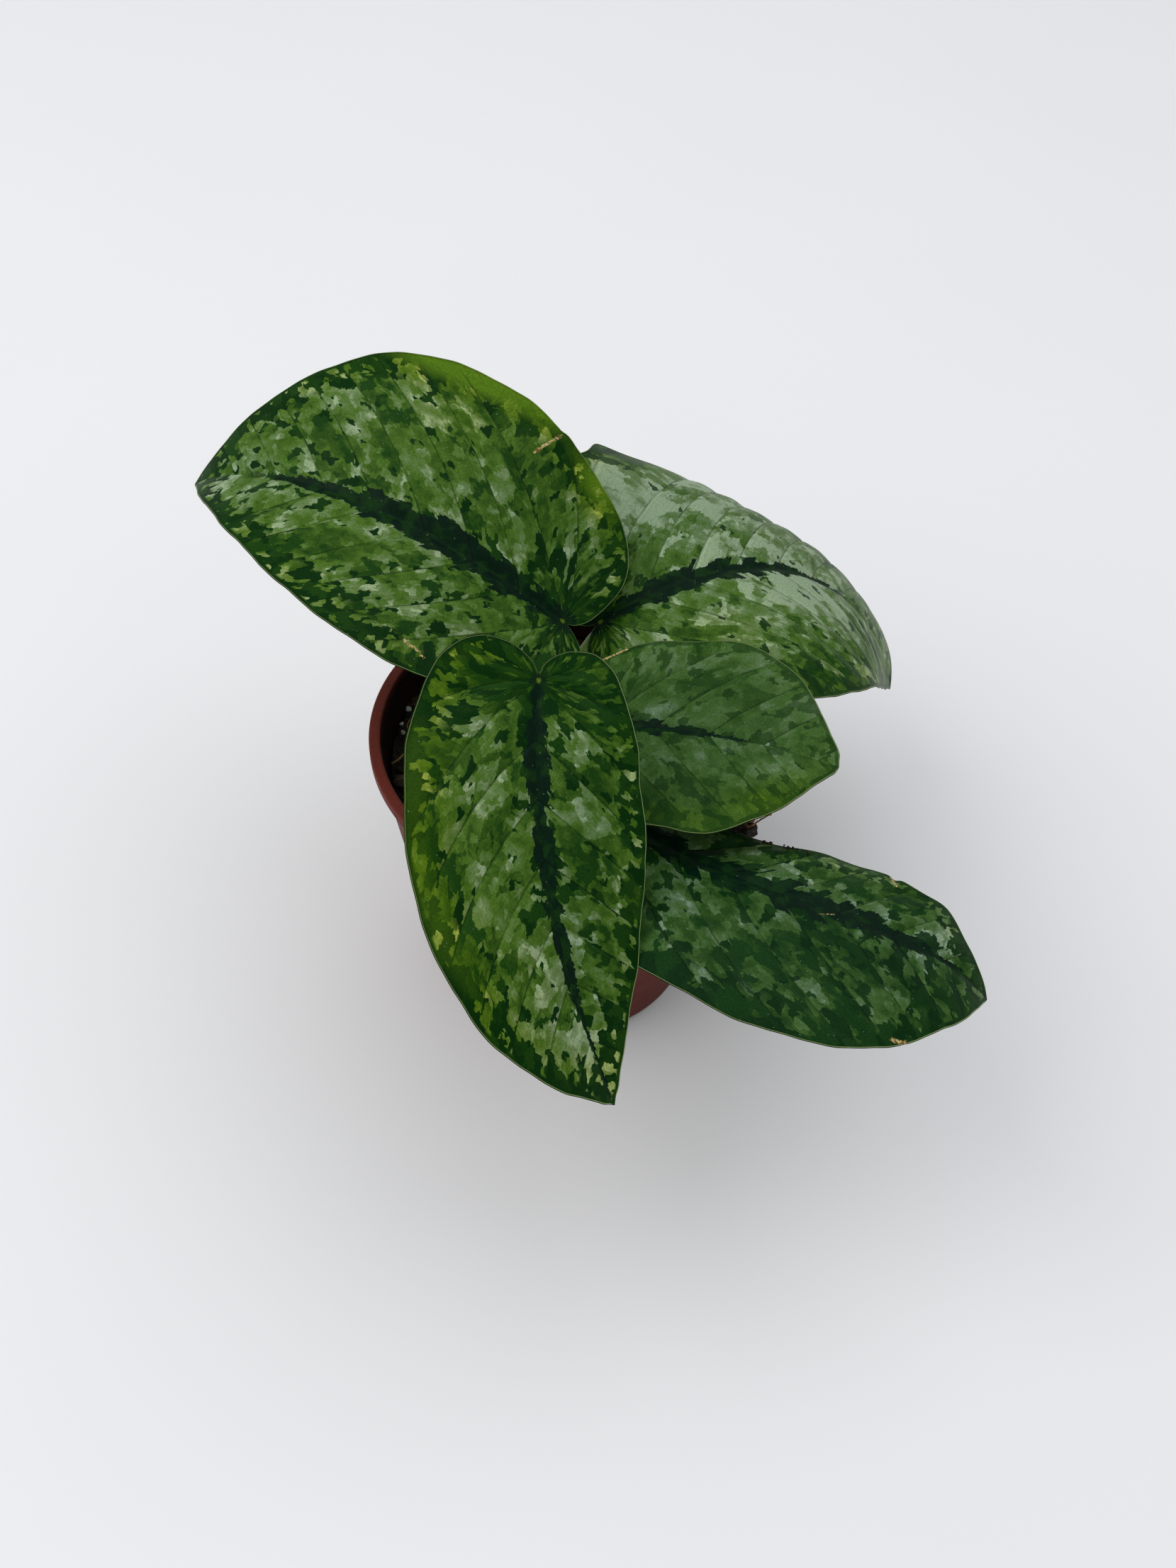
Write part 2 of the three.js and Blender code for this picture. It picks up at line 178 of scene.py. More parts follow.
# Each leaf as in the source of the part. base is the notch, where the midrib starts with the
# heading, from +X towards +Y, and the rise above level. Towards the tip it droops, turns and bows,
# and the blade, rolled about it, twists. Each half has a width, a shoulder where it is widest, a
# lobe behind the notch, a fullness towards the tip and a curl that turns its margin down.
LEAVES = {
    "leaf_back_left": {
        "base": (-4, 11.1, 94.4), "heading": 173, "rise": 36.5, "droop": 78.5, "hook": 1.5,
        "turn": -21.5, "bow": -5.5, "roll": -14.5, "twist": -2.5, "length": 97,
        "fold": (13.5, 12.5), "ripple": 0.5, "ripples": 3,
        "left": {"width": 32.5, "shoulder": 33, "lobe": 8.5, "fullness": 1.6, "curl": (14, 15)},
        "right": {"width": 40, "shoulder": 39.5, "lobe": 8.5, "fullness": 2, "curl": (17, 13)},
        "stem_height": 83, "petiole": (-4, 8, 89),
    },
    "leaf_back_right": {
        "base": (4, 21.2, 85.5), "heading": 25.5, "rise": 31, "droop": 107, "hook": 0.8,
        "turn": -40, "bow": 10, "roll": 12.5, "twist": -12, "length": 107,
        "fold": (9, 5.5), "ripple": 0.5, "ripples": 3,
        "left": {"width": 44.5, "shoulder": 33.5, "lobe": 9, "fullness": 2.3, "curl": (2, 101)},
        "right": {"width": 39.5, "shoulder": 33, "lobe": 8.5, "fullness": 2.1, "curl": (14.5, 16)},
        "stem_height": 73, "petiole": (0, 14, 80),
    },
    "leaf_front": {
        "base": (-7.1, -26.2, 113.2), "heading": -90, "rise": -29, "droop": 19, "hook": 1.3,
        "turn": 40, "bow": 8.5, "roll": -17, "twist": -2, "length": 84.5,
        "fold": (7.5, 7.5), "ripple": 0.5, "ripples": 3,
        "left": {"width": 22, "shoulder": 28, "lobe": 7, "fullness": 2.2, "curl": (10.5, 14.5)},
        "right": {"width": 28, "shoulder": 34, "lobe": 7, "fullness": 2.7, "curl": (11, 11.5)},
        "stem_height": 77, "petiole": (-9, -17.5, 92),
    },
    "leaf_small_right": {
        "base": (5.3, -9.9, 84.9), "heading": -9.5, "rise": 14, "droop": 27, "hook": 1.4,
        "turn": -0.5, "bow": -1.5, "roll": 9.5, "twist": -1, "length": 51.5,
        "fold": (7.5, 8), "ripple": 0.4, "ripples": 2.5,
        "left": {"width": 24, "shoulder": 25, "lobe": 6, "fullness": 2.3, "curl": (10, 14)},
        "right": {"width": 25.5, "shoulder": 22.5, "lobe": 6, "fullness": 2.2, "curl": (11, 8.5)},
        "stem_height": 69, "petiole": (0, -7.5, 78.5),
    },
    "leaf_low_right": {
        "base": (14.1, -29.1, 76.3), "heading": -45.5, "rise": 5.5, "droop": 56.5, "hook": 2.8,
        "turn": 30, "bow": 21, "roll": -7, "twist": 4.5, "length": 84.5,
        "fold": (1, 6.5), "ripple": 0.5, "ripples": 3,
        "left": {"width": 17.5, "shoulder": 50.5, "lobe": 7, "fullness": 2.2, "curl": (30, 19.5)},
        "right": {"width": 30.5, "shoulder": 45.5, "lobe": 8, "fullness": 2.2, "curl": (31, 27.5)},
        "stem_height": 66, "petiole": (6, -19, 72.5),
    },
}

# How each leaf looks: a seed, how far its lighter patches cover the ground, how dark the ground is,
# how much of it shows near the margin, the contrast and relief, how cool it is, and the dark stripe
# (half width, share of the length where it is widest, share where it ends). On the flat leaf, nicks
# and corners of the margin are (x, y, reach, outward), marks are (x, y, reach along, reach across,
# silver, dark, sunny), and scars are chains of points with half their width. Besides the pattern,
# the marks paint light and shade: silver is in places a painted sheen, dark is partly painted shade,
# as in the folds of the lobes and on the shaded side of a leaf, and sunny is painted light that comes
# through the blade, with painted shade where it is below 0.
LEAF_LOOKS = {
    "leaf_back_left": {
        "seed": 1, "cover": 0.0, "depth": 1.0, "band": 0.8, "contrast": 1.1, "relief": 1.0,
        "cool": 0.0, "stripe": (5.4, 0.34, 0.75),
        "nicks": [(20.5, -37, 0.9, -0.9), (18.5, -37, 2.5, 0.5)],
        "marks": [
            (30, -40, 13, 5, 0, 0, 1.9), (52, -37, 16, 5, 0, 0, 0.9), (4, -30, 8, 6, 0, 0.1, 1.0),
            (4, -12, 9, 8, -0.12, 0.3, -0.2), (25, -13, 16, 7, 0.1, -0.05, -0.4),
            (81, 2, 11, 10, 0.16, -0.15, -0.5), (40, -26, 16, 9, 0, -0.1, 0.6),
            (49, 28, 24, 7, 0, 0.34, 0), (78, -20, 18, 6, 0, 0.2, 0), (37, 18, 18, 8, 0.04, -0.1, 0.3),
            (46, -40, 14, 5, 0, 0, 1.3), (9, -34, 8, 5, 0, 0, 1.1), (39, -7, 22, 10, -0.02, -0.12, 0.1),
            (48, 13, 22, 9, -0.03, -0.1, 0.1),
        ],
        "scars": [
            ([(23.5, -29), (22, -32.5), (20, -37)], 0.26),
            ([(28.5, 26.5), (27, 27), (25.5, 27), (23.5, 28)], 0.3),
        ],
    },
    "leaf_back_right": {
        "seed": 2, "cover": 0.16, "depth": 0.9, "band": 0.4, "contrast": 1.05, "relief": 1.0,
        "cool": 0.2, "stripe": (4.6, 0.2, 0.64),
        "nicks": [(25.5, 44, 4.6, 5.0), (43, 40, 9, -1.6)],
        "marks": [
            (26, 22, 26, 20, 0.64, -0.3, -0.5), (52, -6, 18, 14, 0.52, -0.2, -0.4),
            (27, -21, 26, 12, 0.08, -0.1, 0.1), (26, 44, 10, 6, -0.4, 0.35, 0.3),
            (19, -18, 20, 12, 0.08, -0.05, 0.5), (6, 6, 8, 8, -0.1, 0.25, 0),
            (14, 12, 10, 8, -0.3, 0.2, -0.2), (42, -35, 16, 8, -0.1, 0.12, 0.1),
        ],
        "scars": [],
    },
    "leaf_front": {
        "seed": 3, "cover": 0.02, "depth": 1.0, "band": 0.75, "contrast": 1.15, "relief": 0.9,
        "cool": 0.0, "stripe": (3.2, 0.25, 0.95),
        "nicks": [(83, 1, 3.5, 0.6), (84, 0, 2.2, -0.9)],
        "marks": [
            (-2, -14, 9, 9, -0.15, 0.1, 0.7), (16, -24, 13, 8, 0, 0.1, 0.75),
            (35, -27, 14, 7, 0, 0.1, 0.7), (-3, 8, 9, 8, -0.25, 0.2, 0.1),
            (26, 10, 14, 7, -0.07, -0.05, -0.6), (54, 5, 14, 6, 0.0, 0.05, -0.7),
            (76, 2, 12, 9, 0.22, -0.05, 0.3), (53, -20, 12, 7, 0, 0.05, 0.5),
            (56, -8, 14, 9, 0.08, -0.05, 0.4), (34, -14, 14, 8, 0.03, -0.2, 0.2),
            (46, -23, 10, 5, 0, 0, 0.4), (40, 8, 16, 8, -0.12, 0.08, -0.2),
            (6, 14, 12, 5, -0.1, 0.15, -0.1),
        ],
        "scars": [],
    },
    "leaf_small_right": {
        "seed": 4, "cover": 0.08, "depth": 0.6, "band": 0.25, "contrast": 0.55, "relief": 0.8,
        "cool": 0.8, "stripe": (2.6, 0.1, 0.6),
        "nicks": [(50, 1.5, 4, 0.7)],
        "marks": [
            (42, -9, 9, 10, -0.1, 0, 0.6), (30, 20, 10, 8, 0.03, -0.2, 0),
            (6, 5, 8, 8, 0.08, -0.1, -0.3), (23, 4, 30, 25, 0, 0.04, -0.95),
            (38, -14, 14, 6, -0.16, 0.05, 0.2), (22, -22, 14, 4, -0.3, 0.1, 0.7),
            (37, -15, 14, 4, -0.3, 0.1, 0.7),
        ],
        "scars": [([(-3, 16), (-0.5, 17.5), (3, 19.5)], 0.2)],
    },
    "leaf_low_right": {
        "seed": 5, "cover": -0.06, "depth": 0.95, "band": 0.6, "contrast": 1.0, "relief": 1.3,
        "cool": 0.95, "stripe": (5.6, 0.35, 0.95),
        "nicks": [
            (69, 12.5, 4.5, 2.0), (57.5, 16.5, 1.1, -1.5), (62, 13, 5, -0.5), (29.5, 16.5, 7, -1.5),
        ],
        "marks": [
            (34, -26, 14, 8, 0.08, -0.05, -0.2), (53, -7, 16, 7, -0.12, 0.3, -0.7),
            (54, -30, 24, 7, -0.06, 0.15, -0.2), (76, -10, 7, 7, -0.05, 0.2, 0),
            (18, -8, 10, 8, -0.06, 0.1, -0.3), (42, -11, 40, 25, 0, 0, -0.35),
            (16, 0, 9, 8, -0.02, 0.04, -0.2), (26, -11, 12, 9, 0.06, 0, 0),
            (46, 10, 16, 7, 0.1, -0.1, 0.2), (40, -30, 26, 8, -0.05, 0.25, -0.2),
            (44, -25, 30, 16, -0.08, 0.08, -0.3),
        ],
        "scars": [
            ([(56.5, 16.5), (57.5, 14.5), (58, 14)], 0.28),
            ([(63.5, -23.5), (66, -23), (66.5, -22.5)], 0.34), ([(43.5, -2.5), (46.5, -1)], 0.12),
        ],
    },
}

# What the colours of a leaf are multiplied by when cool is 1, and the young green, old green and
# blush of the stalks and of the stem
BLUE_TINTS = {
    "deep": (0.7, 0.85, 1.6), "green": (0.62, 0.72, 1.25), "bright": (0.72, 0.78, 1.5),
    "silver": (0.75, 0.8, 1.0), "pale": (0.8, 0.85, 0.95), "ground": (0.9, 0.9, 2.0),
}
STALK_TINTS = ((0.14, 0.24, 0.03), (0.08, 0.16, 0.025), (0.16, 0.17, 0.04))
STEM_TINTS = ((0.12, 0.21, 0.04), (0.075, 0.14, 0.03), (0.12, 0.1, 0.03))
LEAF_COLOURS = ("stripe", "ground", "deep", "green", "bright", "silver", "pale", "lime", "edge")

# The colours of finishes and lamps that the settings leave out, and two tints that light gives a leaf
PLAIN = (1, 1, 1)
SUNLIT = (1.15, 1.06, 0.3)
SHADED = (0.86, 0.9, 1.0)
NOTCH_GREEN = (0.13, 0.2, 0.012)
SCAB_STRAW = (0.48, 0.38, 0.16)
SCAB_BROWN = (0.2, 0.12, 0.04)
DUST = (0.4, 0.45, 0.4)
UNDER_GREEN = (0.055, 0.13, 0.045)
UNDER_PALE = (0.09, 0.185, 0.07)
UNDER_VEIN = (0.15, 0.27, 0.1)
UNDER_FINE_VEIN = (0.13, 0.24, 0.1)
UNDER_SCAB = (0.2, 0.1, 0.04)
STALK_FLECK = (0.09, 0.06, 0.02)
PEAT_CRUMB = (0.05, 0.028, 0.015)
PEAT_FIBRE = (0.085, 0.05, 0.028)
BARK_DARK = (0.02, 0.013, 0.009)
BARK_BROWN = (0.07, 0.036, 0.018)
BARK_GRAIN = (0.11, 0.065, 0.035)
PERLITE_STAIN = (0.3, 0.24, 0.17)
PERLITE_PIT = (0.35, 0.33, 0.28)
ROOT_LIGHT = (0.3, 0.17, 0.08)
ROOT_DARK = (0.12, 0.06, 0.03)
POT_SPLASH = (0.035, 0.022, 0.015)
POT_INSIDE_SHADE = (0.012, 0.007, 0.005)
SOFTBOX_TINT = (1.0, 0.99, 0.97)
FILL_TINT = (0.95, 0.98, 1.0)


# Numbers and curves


def smooth_noise(places, seed, size):
    """Smooth noise from -1 to 1 at an array of places, with lumps of the given size."""
    lattice = np.random.default_rng(seed).uniform(-1, 1, (NOISE_LATTICE,) * 3)
    scaled = np.asarray(places, float) / size
    cell = np.floor(scaled).astype(int)
    part = scaled - cell
    part = part * part * (3 - 2 * part)
    total = np.zeros(len(scaled))
    for corner in itertools.product((0, 1), repeat=3):
        weight = np.prod(np.where(corner, part, 1 - part), axis=1)
        total += weight * lattice[tuple(((cell + corner) % NOISE_LATTICE).T)]
    return total


def smoothstep(low, high, values):
    share = np.clip((values - low) / (high - low), 0, 1)
    return share * share * (3 - 2 * share)


def bell(distance, reach):
    """1 at no distance, and falling off like a bell beyond the reach."""
    return np.exp(-((distance / reach) ** 2))


def unit(vectors):
    return vectors / np.maximum(np.linalg.norm(vectors, axis=-1, keepdims=True), 1e-12)


def angles_round(sides):
    return np.linspace(0, 2 * np.pi, sides, endpoint=False)


def circle(sides):
    """The x and y of points round a circle of radius 1."""
    angles = angles_round(sides)
    return np.column_stack([np.cos(angles), np.sin(angles)])


def walked(points):
    """How far along a chain of points each of them is."""
    return np.concatenate([[0], np.cumsum(np.linalg.norm(np.diff(points, axis=0), axis=1))])


def resampled(points, count):
    """count + 1 points at equal steps along a chain of points."""
    along = walked(points)
    wanted = np.linspace(0, along[-1], count + 1)
    return np.stack([np.interp(wanted, along, column) for column in points.T], axis=1)


def through(knots, count):
    """count + 1 evenly spaced points of a smooth curve through the knots, as the part's source has it."""
    knots = np.asarray(knots, float)
    knots = np.vstack([2 * knots[0] - knots[1], knots, 2 * knots[-1] - knots[-2]])
    share = np.linspace(0, 1, 60, endpoint=False)[:, None]
    dense = []
    for a, b, c, d in zip(knots, knots[1:], knots[2:], knots[3:]):
        before, here, after = (np.linalg.norm(q - p) ** 0.5 for p, q in ((a, b), (b, c), (c, d)))
        leaving = ((b - a) / before - (c - a) / (before + here) + (c - b) / here) * here
        arriving = ((c - b) / here - (d - b) / (here + after) + (d - c) / after) * here
        dense.append(
            b + leaving * share
            + (3 * (c - b) - 2 * leaving - arriving) * share**2
            + (2 * (b - c) + leaving + arriving) * share**3
        )
    dense.append(knots[-2][None])
    return resampled(np.vstack(dense), count)


def carried_frames(points, first_side):
    """Two sides of a curve at each point, at right angles, that turn with it and no more."""
    along = unit(np.gradient(points, axis=0))
    side = np.empty_like(points)
    side[0] = unit(first_side - along[0] * (first_side @ along[0]))
    for i in range(1, len(points)):
        side[i] = unit(side[i - 1] - along[i] * (side[i - 1] @ along[i]))
    return side, np.cross(along, side)


# Meshes


class Shells:
    """Closed shells that become one piece, each with a finish and values at its points."""

    def __init__(self):
        self.points, self.faces, self.slots, self.values = [], [], [], {}
        self.count = 0

    def add(self, points, faces, slot=0, **values):
        """Adds a shell. slot is the finish of all its faces, or a list with one for each face."""
        self.points.append(np.asarray(points, float))
        self.faces.extend([corner + self.count for corner in face] for face in faces)
        self.slots.extend(slot if isinstance(slot, list) else [slot] * len(faces))
        for name, array in values.items():
            self.values.setdefault(name, []).append((self.count, np.asarray(array, float)))
        self.count += len(points)

    def piece(self, name, finishes, slot=None, replaces=()):
        """Puts the shells into the scene as one piece of the plant."""
        mesh = bpy.data.meshes.new(name)
        mesh.from_pydata((np.vstack(self.points) * MM).tolist(), [], self.faces)
        for finish in finishes:
            mesh.materials.append(finish)
        mesh.polygons.foreach_set("material_index", self.slots)
        for value, parts in self.values.items():
            width = 1 if parts[0][1].ndim == 1 else parts[0][1].shape[1]
            filled = np.zeros((self.count, width))
            for start, array in parts:
                filled[start : start + len(array)] = array.reshape(len(array), width)
            kind, key = ("FLOAT", "value") if width == 1 else ("FLOAT_VECTOR", "vector")
            layer = mesh.attributes.new(value, kind, "POINT")
            layer.data.foreach_set(key, filled.ravel())
        mesh.shade_smooth()
        mesh.validate()
        piece = bpy.data.objects.new(name, mesh)
        bpy.context.scene.collection.objects.link(piece)
        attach(piece, "root")
        if replaces:
            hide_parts(*replaces)
        return piece


def skin(rings, sides):
    """The faces of a tube of rings of points, with a fan over both ends."""
    faces = []
    for i, k in itertools.product(range(rings - 1), range(sides)):
        a, b = i * sides + k, i * sides + (k + 1) % sides
        faces.append((a, b, b + sides, a + sides))
    foot, head, last = rings * sides, rings * sides + 1, (rings - 1) * sides
    for k in range(sides):
        after = (k + 1) % sides
        faces.append((foot, after, k))
        faces.append((head, last + k, last + after))
    return faces


def grid_faces(rows, columns, first=0):
    """The faces of a grid with that many steps each way, whose points run row by row."""
    faces = []
    for i, j in itertools.product(range(rows), range(columns)):
        a = first + i * (columns + 1) + j
        b = a + columns + 1
        faces.append((a, b, b + 1, a + 1))
    return faces


def swept(points, reach, side, other):
    """The points of a tube along points, with its reach at each ring and angle, and of its two ends."""
    ring = circle(reach.shape[1])
    spokes = ring[:, :1] * side[:, None] + ring[:, 1:] * other[:, None]
    body = (points[:, None] + reach[..., None] * spokes).reshape(-1, 3)
    return np.vstack([body, points[:1], points[-1:]])


def tube(points, radii, sides, first_side=(0, 0, 1), outline=1.0):
    """The points and faces of a tube. outline is the share of its radius at each ring and angle."""
    side, other = carried_frames(points, np.asarray(first_side, float))
    reach = np.broadcast_to(np.asarray(radii, float)[:, None] * outline, (len(points), sides))
    return swept(points, reach, side, other), skin(len(points), sides)


def rock(level):
    """The points and faces of a round ball, to be knocked into a crumb."""
    ball = bmesh.new()
    bmesh.ops.create_icosphere(ball, subdivisions=level, radius=1)
    points = np.array([vertex.co for vertex in ball.verts])
    faces = [tuple(vertex.index for vertex in face.verts) for face in ball.faces]
    ball.free()
    return points, faces


# Finishes


class Value:
    """A socket of a finish, so that shader maths reads as a plain expression."""

    def __init__(self, finish, socket):
        self.finish, self.socket = finish, socket

    def maths(self, operation, *others):
        return self.finish.node("Math", {"operation": operation}, dict(enumerate((self, *others))))

    def __add__(self, other):
        return self.maths("ADD", other)

    def __sub__(self, other):
        return self.maths("SUBTRACT", other)

    def __rsub__(self, other):
        return self.finish.node("Math", {"operation": "SUBTRACT"}, {0: other, 1: self})

    def __mul__(self, other):
        return self.maths("MULTIPLY", other)

    def __truediv__(self, other):
        return self.maths("DIVIDE", other)

    def __lt__(self, other):
        return self.maths("LESS_THAN", other)

    def __gt__(self, other):
        return self.maths("GREATER_THAN", other)

    def __abs__(self):
        return self.maths("ABSOLUTE")

    __radd__ = __add__
    __rmul__ = __mul__

    def ramp(self, low, high, start=0.0, end=1.0):
        """A smooth step from start to end as the value goes from low to high."""
        return self.finish.node(
            "MapRange",
            {"interpolation_type": "SMOOTHSTEP", "clamp": True},
            {"Value": self, "From Min": low, "From Max": high, "To Min": start, "To Max": end},
        )

    def towards(self, other, share):
        return self + (other - self) * share


class Finish:
    """A procedural material under construction."""

    def __init__(self, name, **constants):
        self.material = bpy.data.materials.new(name)
        self.material.use_nodes = True
        self.nodes = self.material.node_tree.nodes
        self.links = self.material.node_tree.links
        self.surface = self.nodes["Principled BSDF"]
        for socket, value in constants.items():
            self.surface.inputs[socket.replace("_", " ")].default_value = value

    def node(self, kind, settings=None, sockets=None, output=0):
        """Adds a node with its settings and the values or links of its sockets."""
        node = self.nodes.new("ShaderNode" + kind)
        for key, value in (settings or {}).items():
            if key == "stops":
                ramp = node.color_ramp
                while len(ramp.elements) < len(value):
                    ramp.elements.new(1)
                for element, (position, colour) in zip(ramp.elements, value):
                    element.position, element.color = position, (*colour, 1)
            else:
                setattr(node, key, value)
        for key, value in (sockets or {}).items():
            self.connect(node.inputs[key], value)
        return Value(self, node.outputs[output])

    def connect(self, socket, value):
        if isinstance(value, Value):
            self.links.new(value.socket, socket)
        elif hasattr(socket.default_value, "__len__") and len(value) < len(socket.default_value):
            socket.default_value = (*value, 1)
        else:
            socket.default_value = value

    def split(self, vector):
        return [self.node("SeparateXYZ", None, {0: vector}, axis) for axis in range(3)]

    def joined(self, x, y, z=0.0):
        return self.node("CombineXYZ", None, {0: x, 1: y, 2: z})

    def value(self, name, output="Fac"):
        return self.node("Attribute", {"attribute_name": name}, None, output)

    def place(self, size):
        """The place on the piece, in steps of size millimetres."""
        spot = self.node("TexCoord", None, None, "Object")
        return self.node("VectorMath", {"operation": "SCALE"}, {0: spot, "Scale": 1 / (MM * size)})

    def noise(self, vector, detail, output="Fac", dimensions="3D"):
        sockets = {"Vector": vector, "Scale": 1.0, "Detail": detail}
        return self.node("TexNoise", {"noise_dimensions": dimensions}, sockets, output)

    def cells(self, vector, output, dimensions="3D"):
        sockets = {"Vector": vector, "Scale": 1.0}
        return self.node("TexVoronoi", {"voronoi_dimensions": dimensions}, sockets, output)

    def lumps(self, size, detail):
        """Noise over the piece, with lumps of about size millimetres."""
        return self.noise(self.place(size), detail)

    def chance(self, size):
        """A random number that is the same all over each grain of size millimetres."""
        return self.split(self.cells(self.place(size), "Color"))[0]

    def flat_noise(self, x, y, size, detail, output="Fac"):
        """Noise over flat places, with lumps of about that size."""
        return self.noise(self.joined(x / size[0], y / size[1]), detail, output, "2D")

    def flat_cells(self, x, y, size, output="Color"):
        """Three random numbers for each cell of flat places, or its point, or the distance to it."""
        found = self.cells(self.joined(x / size[0], y / size[1]), output, "2D")
        return found if output == "Distance" else self.split(found)

    def mix(self, share, first, second):
        return self.node("Mix", {"data_type": "RGBA"}, {0: share, 6: first, 7: second}, 2)

    def shade(self, colour, factor):
        """A colour made darker or lighter by a factor."""
        return self.node("VectorMath", {"operation": "SCALE"}, {0: colour, "Scale": factor})

    def tinted(self, colour, tint):
        """A colour multiplied by another."""
        return self.node("VectorMath", {"operation": "MULTIPLY"}, {0: colour, 1: tint})

    def paint(self, colour, roughness, height=None, depth=0.1, strength=1.0):
        """Feeds the surface. height is a relief of depth millimetres."""
        self.connect(self.surface.inputs["Base Color"], colour)
        self.connect(self.surface.inputs["Roughness"], roughness)
        if height is not None:
            bump = self.node("Bump", None, {"Strength": strength, "Distance": depth * MM, "Height": height})
            self.connect(self.surface.inputs["Normal"], bump)
        return self.material


def fine_veins(along, low):
    """Thin lines between the side veins, 1 at their middle."""
    return abs((along / FINE_VEINS).maths("FRACT") - 0.5).ramp(low, 0.5)


def scabs(scar, grain):
    """1 on the scars, with a ragged edge."""
    return (scar + (grain - 0.5) * 0.9).ramp(-0.1, 0.15, 1.0, 0.0)


def leaf_upper_finish(look, colours):
    """The upper face: lighter patches that follow the side veins over a dark ground, with a dark stripe."""
    finish = Finish("leaf_upper_%d" % look["seed"], Specular_IOR_Level=0.045)
    mix, cells, noise = finish.mix, finish.flat_cells, finish.flat_noise
    out, along, share = finish.split(finish.value("flow", "Vector"))
    silver, dark, sunny = finish.split(finish.value("marks", "Vector"))
    rim, away = finish.value("rim"), abs(out)
    spacing = look["spacing"]
    row = (along / spacing).maths("FLOOR")
    turn = along - row * spacing

    # Patches slant forward and end at the main side veins, and small chips make their edges ragged
    wander = finish.split(noise(out, along, WANDER, 1.0, "Color"))
    slant = along * 0.85
    level = away + slant + (out > 0) * HALVES_APART
    bent_out = level + (wander[0] - 0.5) * 1.6 + row * ROWS_APART
    bent_along = slant + (wander[1] - 0.5) * 1.6
    chip = cells(bent_out, bent_along, CHIP, "Position")
    chance = cells(bent_out, bent_along, CHIP)
    rag_out = bent_out.towards(chip[0] * CHIP[0], 0.9)
    rag_along = bent_along.towards(chip[1] * CHIP[1], 0.6)
    patch, flake, fleck = (cells(rag_out, rag_along, size) for size in (PATCH, FLAKE, FLECK))
    blot = noise(rag_out, rag_along, BLOT, 1.0)
    cloud = noise(out, along, CLOUD, 1.0)

    # The ground shows in blotches, more of them near the margin and beside the stripe
    band = look["band"]
    near_rim = (rim + (cloud - 0.5) * 9.0).ramp(1.5, 9.0, band, -0.14 * band) + rim.ramp(0.5, 1.4, 0.7, 0.0)
    near_rib = away.ramp(2.0, 6.0, 0.1, 0.0)
    # The marks' dark lets more ground show, partly as painted shade
    showing = (blot - 0.5) * 2.4 + patch[1] * 0.36 + flake[1] * 0.44 + near_rim + near_rib + dark
    showing = showing + (cloud - 0.5) * 0.5 + 0.1
    flecked = (fleck[0] > 0.76) * rim.ramp(0.6, 1.2) * rim.ramp(4.0, 8.0, 1.0, 0.0)
    ground = (showing > (0.76 + look["cover"])) * (1 - flecked) * look["depth"]

    # Patches run from mid green to pale silver, cloudy within and lighter towards their ends
    grain = noise(level, along, GRAIN, 3.0)
    streak = noise(level, along, STREAK, 2.0)
    drift = noise(level, along, DRIFT, 2.0)
    veiled = (flake[2] > 0.84) * 0.24 + (showing > (0.66 + look["cover"])) * 0.12
    tone = patch[0] * 0.42 + flake[0] * 0.3 + (drift - 0.5) * 0.6 + (streak - 0.5) * 0.12
    tone = tone + (fleck[2] > 0.87) * 0.2 + showing.ramp(0.2, 0.7, 0.0, 0.12) + away.ramp(3.0, 15.0, 0.1, 0.0)
    # The marks' silver lightens the patches, in places as a painted sheen
    tone = (tone * 1.12 + silver - veiled + flecked * 0.1 - 0.45) * look["contrast"] + 0.42
    greens = zip((0.0, 0.25, 0.5, 0.76, 1.0), ("deep", "green", "bright", "silver", "pale"))
    patches = finish.node("ValToRGB", {"stops": [(at, colours[key]) for at, key in greens]}, {0: tone})
    depths = mix((flake[2] + drift).ramp(0.7, 1.3, 0.0, 0.8), colours["ground"], colours["deep"])
    colour = mix(ground, patches, depths)

    # Yellower where the light comes through, greyer in the shade
    sunny = sunny + rim.ramp(2.0, 11.0, 0.4, -0.3)
    colour = finish.tinted(colour, mix(sunny, PLAIN, SUNLIT))
    colour = finish.tinted(colour, mix(0 - sunny, PLAIN, SHADED))
    colour = mix((sunny - 1) * ground.ramp(0, 1, 0.55, 0.9), colour, colours["lime"])

    # The stripe along the midrib has teeth that point along the side veins
    tooth = cells(out, along, TOOTH)
    full, widest, tail = look["stripe"]
    width = share.ramp(0.0, widest, full * 0.55, full) * share.ramp(widest, tail, 1.0, 0.15)
    width = width * (tooth[0] * 0.9 + 0.5) + (chance[0] - 0.5) * 0.7
    stripe = (away < width) * share.ramp(tail - 0.02, tail + 0.1, 1.0, 0.0)
    colour = mix(stripe, colour, mix(drift.ramp(0.45, 0.7, 0.0, 0.5), colours["stripe"], colours["deep"]))

    # Side veins: thin dark lines with a painted highlight beside them, and finer ones between
    seen = cloud.ramp(0.3, 0.6, 0.45, 1.0) * rim.ramp(0.5, 5.0)
    main = abs(turn - spacing / 2).ramp(spacing / 2 - 0.24, spacing / 2 - 0.06) * seen
    lit = turn.ramp(0.2, 0.45) * turn.ramp(0.5, 1.0, 1.0, 0.0) * rim.ramp(2.0, 6.0)
    fine = fine_veins(along, 0.38) * (drift > 0.5)
    lines = main * 0.5 + fine * 0.12
    colour = finish.shade(colour, (1 - lines) * ((grain - 0.5) * 0.9 + 1.0) * (lit * 0.12 + 1.0))

    # A yellow-green spot where the stalk comes through the notch, and a pale line along the edge
    spot = share.ramp(0.002, 0.01, 0.7, 0.0) * away.ramp(0.2, 0.7, 1.0, 0.0)
    colour = mix(spot, colour, NOTCH_GREEN)
    colour = mix(abs(rim).ramp(0.06, 0.17, 0.65, 0.0) * away.ramp(0.4, 2.0), colour, colours["edge"])

